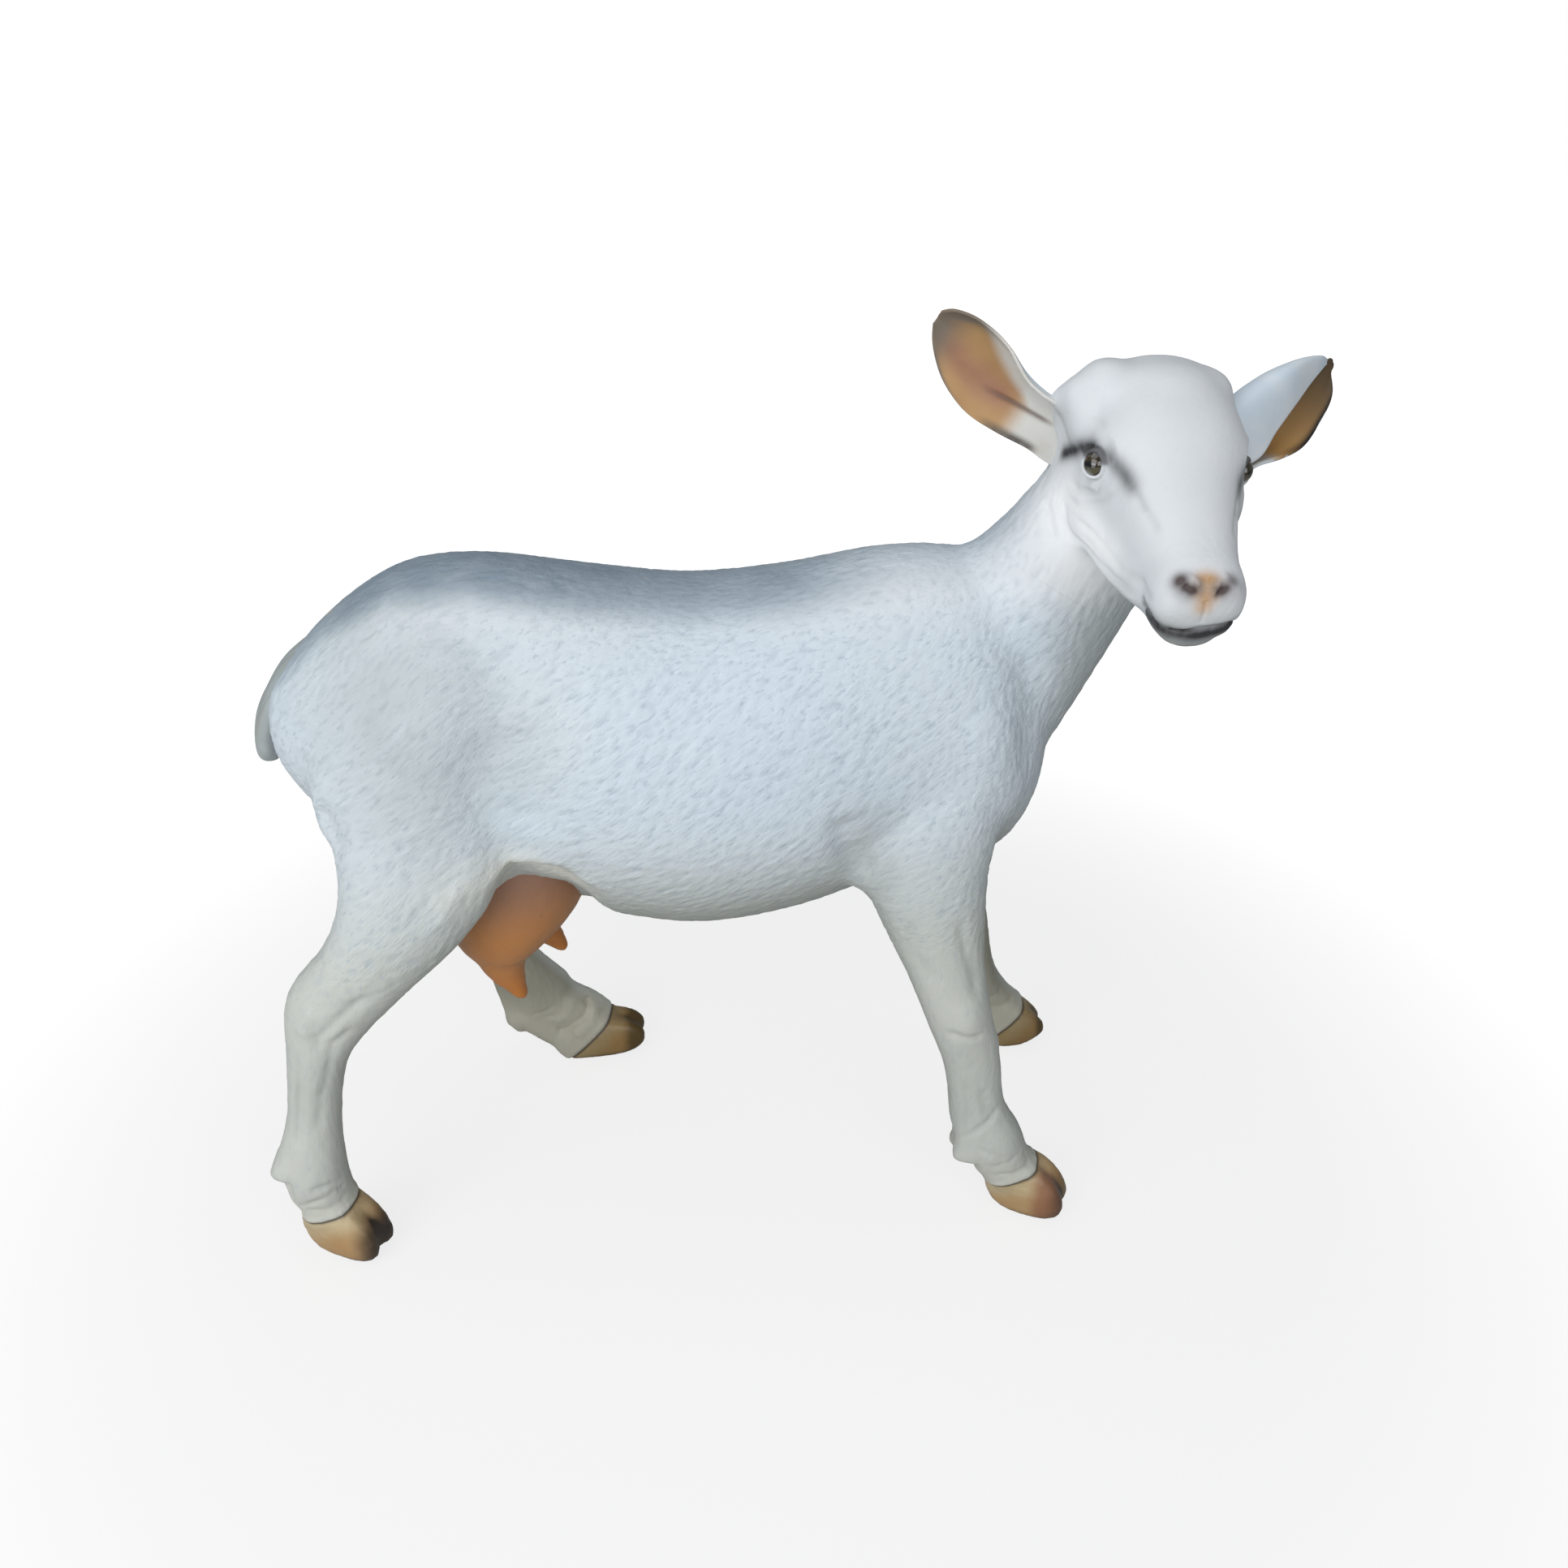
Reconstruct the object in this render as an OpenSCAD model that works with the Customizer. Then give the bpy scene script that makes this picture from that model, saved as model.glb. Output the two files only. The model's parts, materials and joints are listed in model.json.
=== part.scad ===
// Standing dairy goat statue: lofted glass-fibre shells on a steel armature, cast hooves, glass eyes.
// The goat faces +X with its head turned to its right (-Y). The ground is z = 0, the mid-plane y = 0.

/* [Trunk] */
// Height of the withers
withers_h = 659; // [630:1:690]
// Height of the loin, the lowest point of the back
loin_h = 636; // [610:1:660]
// Height of the hip bones
hip_h = 658; // [630:1:690]
// Height of the belly above the ground
belly_h = 311; // [290:1:340]
// Width across the belly
belly_w = 264; // [220:1:290]
// Width across the hips
hip_w = 226; // [200:1:250]
// Width across the chest
chest_w = 210; // [180:1:230]
// Distance from the middle of the belly to the rump
rump_l = 375; // [350:1:400]
// Distance from the middle of the belly to the chest
chest_l = 326; // [310:1:342]
// Thickness of the glass-fibre shells
shell_t = 4; // [3:0.5:6]

/* [Legs] */
// Distance between the hind feet, across the body
hind_stance = 276; // [260:1:300]
// Distance between the fore feet, across the body
fore_stance = 250; // [230:1:270]
// Place of the right hind foot along the body
hind_r_x = -440; // [-455:1:-425]
// Place of the left hind foot along the body
hind_l_x = -212; // [-228:1:-196]
// Place of the right fore foot along the body
fore_r_x = 240; // [225:1:255]
// Place of the left fore foot along the body
fore_l_x = 284; // [270:1:300]
// Height of the joint between legs and trunk
leg_joint_h = 334; // [324:1:344]
// Height of the hocks
hock_h = 262; // [250:1:274]
// Height of the knees
knee_h = 240; // [228:1:252]
// Height of the fetlocks
fetlock_h = 100; // [92:1:108]

/* [Hooves] */
// Length of a hoof at the sole
hoof_l = 72; // [66:1:80]
// Width of a hoof over both claws
hoof_w = 52; // [48:1:58]
// Height of a hoof at its middle
hoof_h = 44; // [40:1:48]
// Width of the cleft at the toes
cleft_w = 7; // [4:0.5:9]

/* [Neck and head] */
// Point midway between the eyes, along the body
head_x = 289; // [280:1:298]
// Point midway between the eyes, across the body
head_y = -80; // [-90:1:-70]
// Point midway between the eyes, above the ground
head_h = 746; // [735:1:757]
// Turn of the head to the right
head_turn = 91; // [85:1:97]
// Nod of the face line below level
head_nod = 21; // [17:1:25]
// Tilt of the head to its left
head_tilt = 4; // [0:1:8]
// Distance between the centres of the eyes
eye_span = 120; // [114:1:126]
// Diameter of a glass eye
eye_d = 22; // [20:0.5:24]
// Distance from the eyes to the tip of the nose
face_l = 138; // [130:1:146]
// Distance from the eyes to the back of the skull
skull_l = 92; // [86:1:98]
// Width of the muzzle at the nostrils
muzzle_w = 72; // [66:1:78]

/* [Ears and tail] */
// Length of an ear from its root
ear_l = 150; // [140:1:160]
// Width of an ear
ear_w = 68; // [60:1:74]
// Thickness of an ear
ear_t = 5; // [4:0.5:7]
// Lift of the right ear above the face line
ear_r_lift = 21; // [14:1:28]
// Lift of the left ear above the face line
ear_l_lift = 3; // [-4:1:10]
// Turn of the right ear back from straight ahead
ear_r_sweep = 118; // [111:1:125]
// Turn of the left ear back from straight ahead
ear_l_sweep = 116; // [109:1:123]
// Roll of the right ear: its hollow faces ahead at 90
ear_r_roll = 93; // [85:1:101]
// Roll of the left ear: its hollow faces ahead at 90
ear_l_roll = 77; // [69:1:85]
// Curl of the ear tips, away from the hollow
ear_curl = 22; // [10:1:30]
// Length of the tail
tail_l = 112; // [100:1:124]
// Width of the tail
tail_w = 44; // [38:1:50]

/* [Udder] */
// Length of the udder along the body
udder_l = 128; // [115:1:140]
// Width of the udder
udder_w = 136; // [120:1:145]
// Height of the udder's underside above the ground
udder_h = 240; // [230:1:250]
// Length of a teat
teat_l = 40; // [34:1:46]
// Distance between the teats
teat_span = 78; // [70:1:86]

/* [Armature] */
// Diameter of the leg rods
rod_d = 12; // [10:0.5:14]
// Depth of the spine tube's top below the line of the loin
spine_drop = 43; // [36:1:50]
// Width of a crossbar
bar_w = 40; // [30:1:50]
// Thickness of a crossbar
bar_t = 8; // [6:1:10]
// Outside size of the square spine tube
spine_s = 25; // [20:1:30]
// Wall of the spine tube
spine_t = 2; // [1.5:0.5:3]
// Outside diameter of an anchor sleeve
sleeve_d = 16; // [14:0.5:18]
// Length of an anchor sleeve
sleeve_l = 28; // [24:1:32]
// Diameter of the tapped hole in an anchor sleeve
anchor_d = 8.5; // [8:0.1:10]
// Width of the bonding tape over the trunk seam
tape_w = 44; // [36:1:52]
// Thickness of the bonding tape
tape_t = 3; // [2:0.5:4]

/* [Hidden] */
// Offset that puts the middle of the whole statue over the origin
stand_shift = [9, 18.5, 0];
// A size larger than the statue, for cutting planes
far = 2000;
white = [0.87, 0.90, 0.93];
steel = [0.45, 0.46, 0.48];
// Height of the underside of the crossbars, under the lowest part of the back
bar_h = min(hip_h - 22, loin_h, withers_h - 23) - spine_drop - spine_s - bar_t;

// Curves
function pull(c, n) = sign(c) * pow(abs(c), 2 / n);
function unit(v) = v / norm(v);
function curve(a, b, c, d, t) =
    0.5 * (2 * b + (c - a) * t + (2 * a - 5 * b + 4 * c - d) * t * t + (3 * b - a - 3 * c + d) * t * t * t);
function smooth(p, steps) = [
    for (i = [0 : len(p) - 2])
        for (k = [0 : steps - 1])
            curve(p[max(i - 1, 0)], p[i], p[i + 1], p[min(i + 2, len(p) - 1)], k / steps),
    p[len(p) - 1]];
function place(s) = [s[0], s[1], s[2]];
function along(p, i) = unit(place(p[min(i + 1, len(p) - 1)]) - place(p[max(i - 1, 0)]));

// A station is [x, y, z, upper radius, lower radius, half width, squareness].
// Seen along the path, the upper side lies to the left of the direction of travel in the x-z plane.
function oval(s, t, sides, wall) =
    let (v = unit([0, 1, 0] - t * t[1]), u = cross(t, v))
    [for (k = [0 : sides - 1])
        let (c = pull(cos(360 * k / sides), s[6]), w = pull(sin(360 * k / sides), s[6]))
        place(s) + u * (max((c > 0 ? s[3] : s[4]) - wall, 0.8) * c) + v * (max(s[5] - wall, 0.8) * w)];
// The rings stand square to the path, or to one way where it is given.
function rings(stations, sides, steps, wall, way) =
    let (p = smooth(stations, steps))
    [for (i = [0 : len(p) - 1]) oval(p[i], is_undef(way) ? along(p, i) : way, sides, wall)];
function mean(r) = [for (k = [0 : len(r) - 1]) 1] * r / len(r);

// A closed skin over a list of rings with equal point counts
module skin(r) {
    n = len(r[0]);
    m = len(r);
    points = concat([for (ring = r) each ring], [mean(r[0]), mean(r[m - 1])]);
    sides = [for (i = [0 : m - 2]) for (k = [0 : n - 1])
        let (a = i * n + k, b = i * n + (k + 1) % n)
        each [[a, b, b + n], [a, b + n, a + n]]];
    caps = [for (k = [0 : n - 1])
        each [[m * n, (k + 1) % n, k], [m * n + 1, (m - 1) * n + k, (m - 1) * n + (k + 1) % n]]];
    polyhedron(points, concat(sides, caps));
}
module limb(stations, sides, steps, wall = 0, way = undef) {
    skin(rings(stations, sides, steps, wall, way));
}
// The inside of a closed limb leaves out its end stations
function core(stations) = [for (i = [1 : len(stations) - 2]) stations[i]];

// Everything inside is one moulding with one faceted surface
module moulded() {
    resize([0, 0, 0]) union() children();
}
module half_space(point, normal) {
    d = unit(normal);
    translate(point)
        rotate([0, acos(d[2]), atan2(d[1], d[0])])
            translate([-far / 2, -far / 2, 0])
                cube(far);
}

// Trunk
module trunk_form(wall = 0) {
    s = [
        [-rump_l - 72, 0, 515, 24, 26, 24, 2],
        [-rump_l - 58, 0, 512, 54, 54, 52, 2],
        [-rump_l - 10, 0, 502, hip_h - 544, 92, hip_w / 2 - 26, 2.1],
        [-rump_l + 52, 0, 492, hip_h - 498, 122, hip_w / 2 - 6, 2.2],
        [-rump_l + 120, 0, 484, hip_h - 485, 148, hip_w / 2, 2.2],
        [-165, 0, 470, loin_h - 461, 470 - belly_h - 12, belly_w / 2 - 4, 2.2],
        [-80, 0, 462, loin_h - 462, 462 - belly_h, belly_w / 2, 2.15],
        [5, 0, 472, withers_h - 490, 472 - belly_h - 10, belly_w / 2 - 3, 2.15],
        [85, 0, 488, withers_h - 491, 488 - belly_h - 30, chest_w / 2 + 10, 2.1],
        [chest_l - 170, 0, 502, withers_h - 502, 502 - belly_h - 38, chest_w / 2 - 6, 2],
        [chest_l - 122, 0, 496, withers_h - 540, 496 - belly_h - 50, chest_w / 2 - 28, 2],
        [chest_l - 98, 0, 484, 56, 78, 50, 2],
        [chest_l - 92, 0, 478, 20, 34, 22, 2]];
    limb(wall > 0 ? core(s) : s, wall > 0 ? 16 : 22, wall > 0 ? 1 : 2, wall, [1, 0, 0]);
}

// Legs: a list of stations from inside the trunk to inside the hoof
hip_x = 75 - rump_l;
shoulder_x = 112;
udder_x = hip_x + 38;
function hind_path(foot_x, side, lean, sink) =
    let (y = side * hind_stance / 2, x = foot_x - lean, back = (x - hip_x) / 156)
    [[hip_x - 6, side * 66, 545, 70, 74, 34, 2],
     [hip_x - 10, side * 76, 490, 84, 80, 42, 2.1],
     [hip_x + 2 + 12 * back, side * 92, 430, 72, 74, 42, 2.1],
     [hip_x - 4 + 30 * back, side * 106, 378, 56, 57, 40, 2.1],
     [hip_x - 26 + 46 * back, y * 0.83, hock_h + 66, 46, 48, 35, 2.1],
     [hip_x - 43 + 66 * back, y * 0.88, hock_h + 18, 37, 43, 29, 2.1],
     [hip_x - 44 + 88 * back, y * 0.92, hock_h - 28, 27, 31, 25, 2.1],
     [hip_x - 26 + 120 * back, y * 0.96, fetlock_h + 62, 24, 25, 21, 2.2],
     [x, y, fetlock_h - sink, 30, 31, 27, 2.2],
     [x + lean * 0.3, y, hoof_h + 26 - sink / 2, 27, 27, 25, 2.3],
     [foot_x - 8, y, hoof_h, 32, 29, 25, 2.3],
     [foot_x - 2, y, hoof_h - 26, 33, 30, 25, 2.3]];
function fore_path(foot_x, side) =
    let (y = side * fore_stance / 2, lead = foot_x - 240)
    [[shoulder_x + 26 + lead / 4, side * 52, 520, 62, 62, 36, 2],
     [shoulder_x + 14 + lead / 3, side * 72, 450, 64, 66, 40, 2.1],
     [shoulder_x + 8 + lead / 2, side * 86, 396, 56, 58, 38, 2.1],
     [shoulder_x + 18 + lead * 0.6, side * 98, 344, 47, 48, 34, 2.1],
     [shoulder_x + 30 + lead * 0.7, y * 0.86, knee_h + 52, 38, 38, 30, 2.1],
     [shoulder_x + 45 + lead * 0.8, y * 0.92, knee_h, 32, 31, 28, 2.2],
     [shoulder_x + 58 + lead * 0.85, y * 0.95, knee_h - 48, 27, 26, 23, 2.2],
     [shoulder_x + 70 + lead * 0.9, y * 0.98, fetlock_h + 34, 26, 26, 22, 2.2],
     [foot_x - 42, y, fetlock_h - 6, 32, 31, 27, 2.2],
     [foot_x - 26, y, hoof_h + 18, 27, 28, 25, 2.3],
     [foot_x - 12, y, hoof_h - 8, 32, 29, 25, 2.3],
     [foot_x, y, hoof_h - 34, 33, 30, 25, 2.3]];
hind_r = hind_path(hind_r_x, -1, 15, 0);
hind_l = hind_path(hind_l_x, 1, 64, 16);
fore_r = fore_path(fore_r_x, -1);
fore_l = fore_path(fore_l_x, 1);
module leg_form(path, wall = 0) {
    limb(path, wall > 0 ? 8 : 12, wall > 0 ? 1 : 2, wall);
}

// Neck
neck_cut = [238, 0, 628];
neck_way = [0.5, 0, 0.86];
module neck_form(wall = 0) {
    s = [
        [124, 0, 470, 190, 100, 60, 2],
        [172, 0, 546, 130, 92, 68, 2],
        [222, -2, 620, 83, 72, 58, 2],
        [254, -9, 682, 58, 62, 50, 2],
        [276, -24, 736, 48, 52, 46, 2],
        [286, -44, 778, 34, 40, 38, 2]];
    limb(s, wall > 0 ? 12 : 18, wall > 0 ? 1 : 2, wall);
}

// Head, in its own frame: x along the face, z up, the origin midway between the eyes
module at_head() {
    translate([head_x, head_y, head_h])
        rotate([0, 0, -head_turn])
            rotate([0, head_nod, 0])
                rotate([-head_tilt, 0, 0])
                    children();
}
module head_form(wall = 0) {
    w = eye_span / 2;
    s = [
        [-skull_l, 0, 0, 26, 22, 26, 2],
        [-skull_l + 8, 0, -2, 47, 44, 50, 2.2],
        [-skull_l + 34, 0, -6, 57, 72, w, 2.3],
        [-28, 0, -8, 60, 82, w + 2, 2.3],
        [4, 0, -8, 53, 77, w, 2.3],
        [34, 0, -14, 43, 69, w - 12, 2.3],
        [face_l - 70, 0, -22, 38, 56, muzzle_w / 2 + 4, 2.3],
        [face_l - 42, 0, -26, 33, 44, muzzle_w / 2 - 1, 2.3],
        [face_l - 20, 0, -28, 31, 37, muzzle_w / 2, 2.3],
        [face_l - 5, 0, -29, 23, 28, muzzle_w / 2 - 7, 2.2],
        [face_l, 0, -29, 10, 12, muzzle_w / 2 - 22, 2]];
    limb(wall > 0 ? core(s) : s, wall > 0 ? 12 : 18, wall > 0 ? 1 : 2, wall, [1, 0, 0]);
}
module eye_ball(side) {
    translate([0, side * (eye_span / 2 - 4), 0])
        sphere(d = eye_d, $fn = 16);
}

// Ear: a cupped leaf along its own x axis, hollow towards +z
function ear_row(x, half, cup, t) =
    let (m = 6, z = -ear_curl * pow(max(x, 0) / ear_l, 2))
    concat([for (k = [0 : m]) let (s = 1 - 2 * k / m) [x, s * half, z + cup * (s * s - 1)]],
           [for (k = [0 : m]) let (s = 2 * k / m - 1)
               [x, s * (half - t / 3), z + cup * (s * s - 1) + t * (1 - 0.55 * s * s)]]);
module ear_form() {
    h = ear_w / 2;
    rows = smooth([
        [-10, h * 0.6, 15, ear_t],
        [ear_l * 0.16, h * 0.72, 23, ear_t],
        [ear_l * 0.36, h * 0.9, 27, ear_t],
        [ear_l * 0.58, h, 25, ear_t],
        [ear_l * 0.79, h * 0.88, 17, ear_t],
        [ear_l * 0.95, h * 0.5, 7, ear_t],
        [ear_l, h * 0.14, 2, ear_t / 2]], 2);
    skin([for (r = rows) ear_row(r[0], r[1], r[2], r[3])]);
}
module at_ear(side) {
    translate([-48, side * (eye_span / 2 - 2), side < 0 ? -18 : -5])
        rotate([0, 0, side * (side < 0 ? ear_r_sweep : ear_l_sweep)])
            rotate([0, side < 0 ? -ear_r_lift : -ear_l_lift, 0])
                rotate([side * (side < 0 ? ear_r_roll : ear_l_roll), 0, 0])
                    children();
}

// Tail, udder and hooves
module tail_form() {
    h = tail_w / 2;
    limb([
        [-rump_l - 34, 0, 520 + tail_l * 0.5, 11, 11, h * 0.6, 2],
        [-rump_l - 64, 0, 520 + tail_l * 0.22, 13, 13, h * 0.95, 2],
        [-rump_l - 79, 0, 520 - tail_l * 0.05, 12, 11, h, 2],
        [-rump_l - 84, 0, 520 - tail_l * 0.28, 9, 8, h * 0.7, 2],
        [-rump_l - 84, 0, 520 - tail_l * 0.36, 5, 5, h * 0.35, 2]], 14, 2);
}
module udder_form() {
    limb(udder_bag(), 18, 2, 0, [0, 0, -1]);
    for (side = [-1, 1])
        limb([
            [udder_x + 2 + 14 * side, side * teat_span / 2, udder_h + 36, 24, 24, 24, 2],
            [udder_x + 8 + 15 * side, side * teat_span / 2, udder_h + 10, 18, 18, 18, 2],
            [udder_x + 15 + 16 * side, side * (teat_span / 2 + 2), udder_h + 14 - teat_l * 0.6, 10, 10, 10, 2],
            [udder_x + 19 + 17 * side, side * (teat_span / 2 + 3), udder_h + 14 - teat_l, 5.5, 5.5, 5.5, 2],
            [udder_x + 20 + 17 * side, side * (teat_span / 2 + 3), udder_h + 12 - teat_l, 2, 2, 2, 2]], 10, 1);
}
function udder_bag() =
    let (a = udder_l / 2, b = udder_w / 2)
    [[udder_x, 0, belly_h + 70, a * 0.8, a * 0.85, b * 0.8, 2.1],
     [udder_x, 0, belly_h + 20, a * 1.06, a, b, 2.2],
     [udder_x, 0, udder_h + 45, a * 0.72, a * 0.9, b * 0.96, 2.1],
     [udder_x, 0, udder_h + 18, a * 0.4, a * 0.6, b * 0.74, 2],
     [udder_x, 0, udder_h + 8, a * 0.1, a * 0.22, b * 0.3, 2]];
// The hollow of the udder is open at the top, against the belly
module udder_inside() {
    bag = udder_bag();
    limb([bag[0] + [0, 0, 1, 0, 0, 0, 0], bag[1], bag[2], bag[3] + [0, 0, shell_t, 0, 0, 0, 0]],
        12, 1, shell_t, [0, 0, -1]);
}
module claw(side, l) {
    w = hoof_w / 4 + 1;
    limb([
        [0, side * hoof_w / 4, 0, l * 0.38, l * 0.54, w - 3, 2.3],
        [0, side * hoof_w / 4, 5, l * 0.42, l * 0.57, w, 2.3],
        [0, side * hoof_w / 4, hoof_h * 0.5, l * 0.45, l * 0.46, w + 1, 2.3],
        [0, side * hoof_w / 4, hoof_h + 4, l * 0.44, l * 0.3, w, 2.3],
        [0, side * hoof_w / 4, hoof_h + 26, l * 0.40, l * 0.2, w - 2, 2.2]], 14, 1, 0, [0, 0, 1]);
}
// The coronet is the joint between leg and hoof, lower at the heel
coronet_tilt = 22;
module above_coronet(x, y) {
    half_space([x, y, hoof_h], [-sin(coronet_tilt), 0, cos(coronet_tilt)]);
}
module hoof_form(x, y, l) {
    difference() {
        translate([x, y, 0]) {
            claw(-1, l);
            claw(1, l);
        }
        above_coronet(x, y);
        translate([x + 6, y, -1])
            linear_extrude(hoof_h * 2)
                polygon([[0, -0.4], [l, -cleft_w], [l, cleft_w], [0, 0.4]]);
    }
}
// Dewclaws: two stubs behind and below a fetlock
module dewclaws(fetlock) {
    for (side = [-1, 1])
        translate(place(fetlock) + [-fetlock[3] + 10, side * fetlock[5] * 0.42, -6])
            limb([
                [6, 0, 10, 9, 9, 9, 2],
                [-4, 0, -2, 9, 9, 9, 2],
                [-12, 0, -12, 7, 7, 7, 2],
                [-15, 0, -17, 2, 2, 2, 2]], 6, 1);
}

// Mouldings cut from these forms
module above_leg_joint() {
    half_space([0, 0, leg_joint_h], [0, 0, 1]);
}
module below_neck_cut() {
    half_space(neck_cut, -neck_way);
}
module trunk_outside() {
    trunk_form();
    intersection() {
        union() {
            leg_form(hind_r);
            leg_form(hind_l);
            leg_form(fore_r);
            leg_form(fore_l);
        }
        above_leg_joint();
    }
    intersection() {
        neck_form();
        below_neck_cut();
    }
}
module inside() {
    trunk_form(shell_t);
    leg_form(hind_r, shell_t);
    leg_form(hind_l, shell_t);
    leg_form(fore_r, shell_t);
    leg_form(fore_l, shell_t);
    neck_form(shell_t);
}
module trunk_half(side) {
    color(white)
        moulded()
            intersection() {
                difference() {
                    trunk_outside();
                    inside();
                }
                half_space([0, 0, 0], [0, side, 0]);
            }
}
module trunk_right_shell() {
    trunk_half(-1);
}
module trunk_left_shell() {
    trunk_half(1);
}
module seam_tape(up) {
    color("burlywood")
        moulded()
            intersection() {
                difference() {
                    trunk_form(shell_t);
                    trunk_form(shell_t + tape_t);
                    neck_form(shell_t);
                    leg_form(hind_r, shell_t);
                    leg_form(hind_l, shell_t);
                }
                translate([-far + shoulder_x + 60, -tape_w / 2, up > 0 ? bar_h - 10 : bar_h - 110 - far])
                    cube([far, tape_w, far]);
            }
}
module back_seam_tape() {
    seam_tape(1);
}
module belly_seam_tape() {
    seam_tape(-1);
}
module neck_shell() {
    color(white)
        moulded()
            difference() {
                neck_form();
                neck_form(shell_t);
                below_neck_cut();
                trunk_form();
                at_head() {
                    head_form();
                    at_ear(-1) ear_form();
                    at_ear(1) ear_form();
                }
            }
}
module head_shell() {
    color(white)
        moulded()
            difference() {
                at_head()
                    difference() {
                        head_form();
                        head_form(shell_t);
                        eye_ball(-1);
                        eye_ball(1);
                        at_ear(-1) ear_form();
                        at_ear(1) ear_form();
                    }
                neck_form(shell_t);
            }
}
module ear(side) {
    color("navajowhite")
        moulded()
            at_head()
                difference() {
                    at_ear(side)
                        ear_form();
                    head_form(shell_t);
                }
}
module ear_right() {
    ear(-1);
}
module ear_left() {
    ear(1);
}
module eye(side) {
    color("saddlebrown")
        moulded()
            at_head()
                eye_ball(side);
}
module eye_right() {
    eye(-1);
}
module eye_left() {
    eye(1);
}
module tail() {
    color("lightslategray")
        moulded()
            difference() {
                tail_form();
                trunk_form();
            }
}
module udder() {
    color("peru")
        moulded()
            difference() {
                udder_form();
                udder_inside();
                trunk_form();
                leg_form(hind_r);
                leg_form(hind_l);
            }
}
module leg(path, foot_x, foot_y) {
    color(white)
        moulded()
            difference() {
                union() {
                    leg_form(path);
                    dewclaws(path[8]);
                }
                leg_form(path, shell_t);
                above_leg_joint();
                trunk_form();
                difference() {
                    translate([-far / 2, -far / 2, -far + hoof_h * 2])
                        cube(far);
                    above_coronet(foot_x, foot_y);
                }
            }
}
module leg_hind_right() {
    leg(hind_r, hind_r_x, -hind_stance / 2);
}
module leg_hind_left() {
    leg(hind_l, hind_l_x, hind_stance / 2);
}
module leg_fore_right() {
    leg(fore_r, fore_r_x, -fore_stance / 2);
}
module leg_fore_left() {
    leg(fore_l, fore_l_x, fore_stance / 2);
}

// Hooves are cast solid round an anchor sleeve and the end of a leg rod
function anchor(foot_x, foot_y) = [foot_x - 8, foot_y, 0];
module hoof(foot_x, foot_y, l) {
    color("sienna")
        difference() {
            moulded()
                hoof_form(foot_x, foot_y, l);
            translate(anchor(foot_x, foot_y) - [0, 0, 1])
                cylinder(d = sleeve_d, h = sleeve_l + 1, $fn = 24);
            translate(anchor(foot_x, foot_y) + [0, 0, sleeve_l - 1])
                cylinder(d = rod_d, h = hoof_h * 2, $fn = 24);
        }
}
module hoof_hind_right() {
    hoof(hind_r_x, -hind_stance / 2, hoof_l);
}
module hoof_hind_left() {
    hoof(hind_l_x, hind_stance / 2, hoof_l * 1.16);
}
module hoof_fore_right() {
    hoof(fore_r_x, -fore_stance / 2, hoof_l);
}
module hoof_fore_left() {
    hoof(fore_l_x, fore_stance / 2, hoof_l);
}
module anchor_sleeves() {
    color(steel)
        for (foot = [[hind_r_x, -hind_stance / 2], [hind_l_x, hind_stance / 2],
                     [fore_r_x, -fore_stance / 2], [fore_l_x, fore_stance / 2]])
            translate(anchor(foot[0], foot[1]))
                difference() {
                    cylinder(d = sleeve_d, h = sleeve_l, $fn = 24);
                    translate([0, 0, -1])
                        cylinder(d = anchor_d, h = sleeve_l + 2, $fn = 24);
                }
}

// Armature
module leg_rod(path, foot_x, foot_y, bends) {
    foot = anchor(foot_x, foot_y);
    top = place(path[0]);
    r = rod_d / 2;
    points = concat(
        [foot + [0, 0, sleeve_l], foot + [0, 0, hoof_h], foot + [0, 0, hoof_h + 10]],
        [for (i = bends) place(path[i])],
        [[top[0], top[1], bar_h - 40], [top[0], top[1], bar_h - 30], [top[0], top[1], bar_h]]);
    color(steel)
        limb([for (q = points) [q[0], q[1], q[2], r, r, r, 2]], 10, 1);
}
module rod_hind_right() {
    leg_rod(hind_r, hind_r_x, -hind_stance / 2, [7, 5, 2]);
}
module rod_hind_left() {
    leg_rod(hind_l, hind_l_x, hind_stance / 2, [8, 7, 5, 2]);
}
module rod_fore_right() {
    leg_rod(fore_r, fore_r_x, -fore_stance / 2, [8, 5, 2]);
}
module rod_fore_left() {
    leg_rod(fore_l, fore_l_x, fore_stance / 2, [8, 5, 2]);
}
module crossbar(x, reach) {
    color(steel)
        translate([x - bar_w / 2, -reach, bar_h])
            cube([bar_w, 2 * reach, bar_t]);
}
module hip_crossbar() {
    crossbar(hind_r[0][0], abs(hind_r[0][1]) + rod_d);
}
module shoulder_crossbar() {
    crossbar((fore_r[0][0] + fore_l[0][0]) / 2, abs(fore_r[0][1]) + rod_d);
}
module spine_tube() {
    x0 = hind_r[0][0] - bar_w / 2;
    x1 = (fore_r[0][0] + fore_l[0][0]) / 2 + bar_w / 2;
    color(steel)
        translate([x0, -spine_s / 2, bar_h + bar_t])
            difference() {
                cube([x1 - x0, spine_s, spine_s]);
                translate([-1, spine_t, spine_t])
                    cube([x1 - x0 + 2, spine_s - 2 * spine_t, spine_s - 2 * spine_t]);
            }
}

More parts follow.
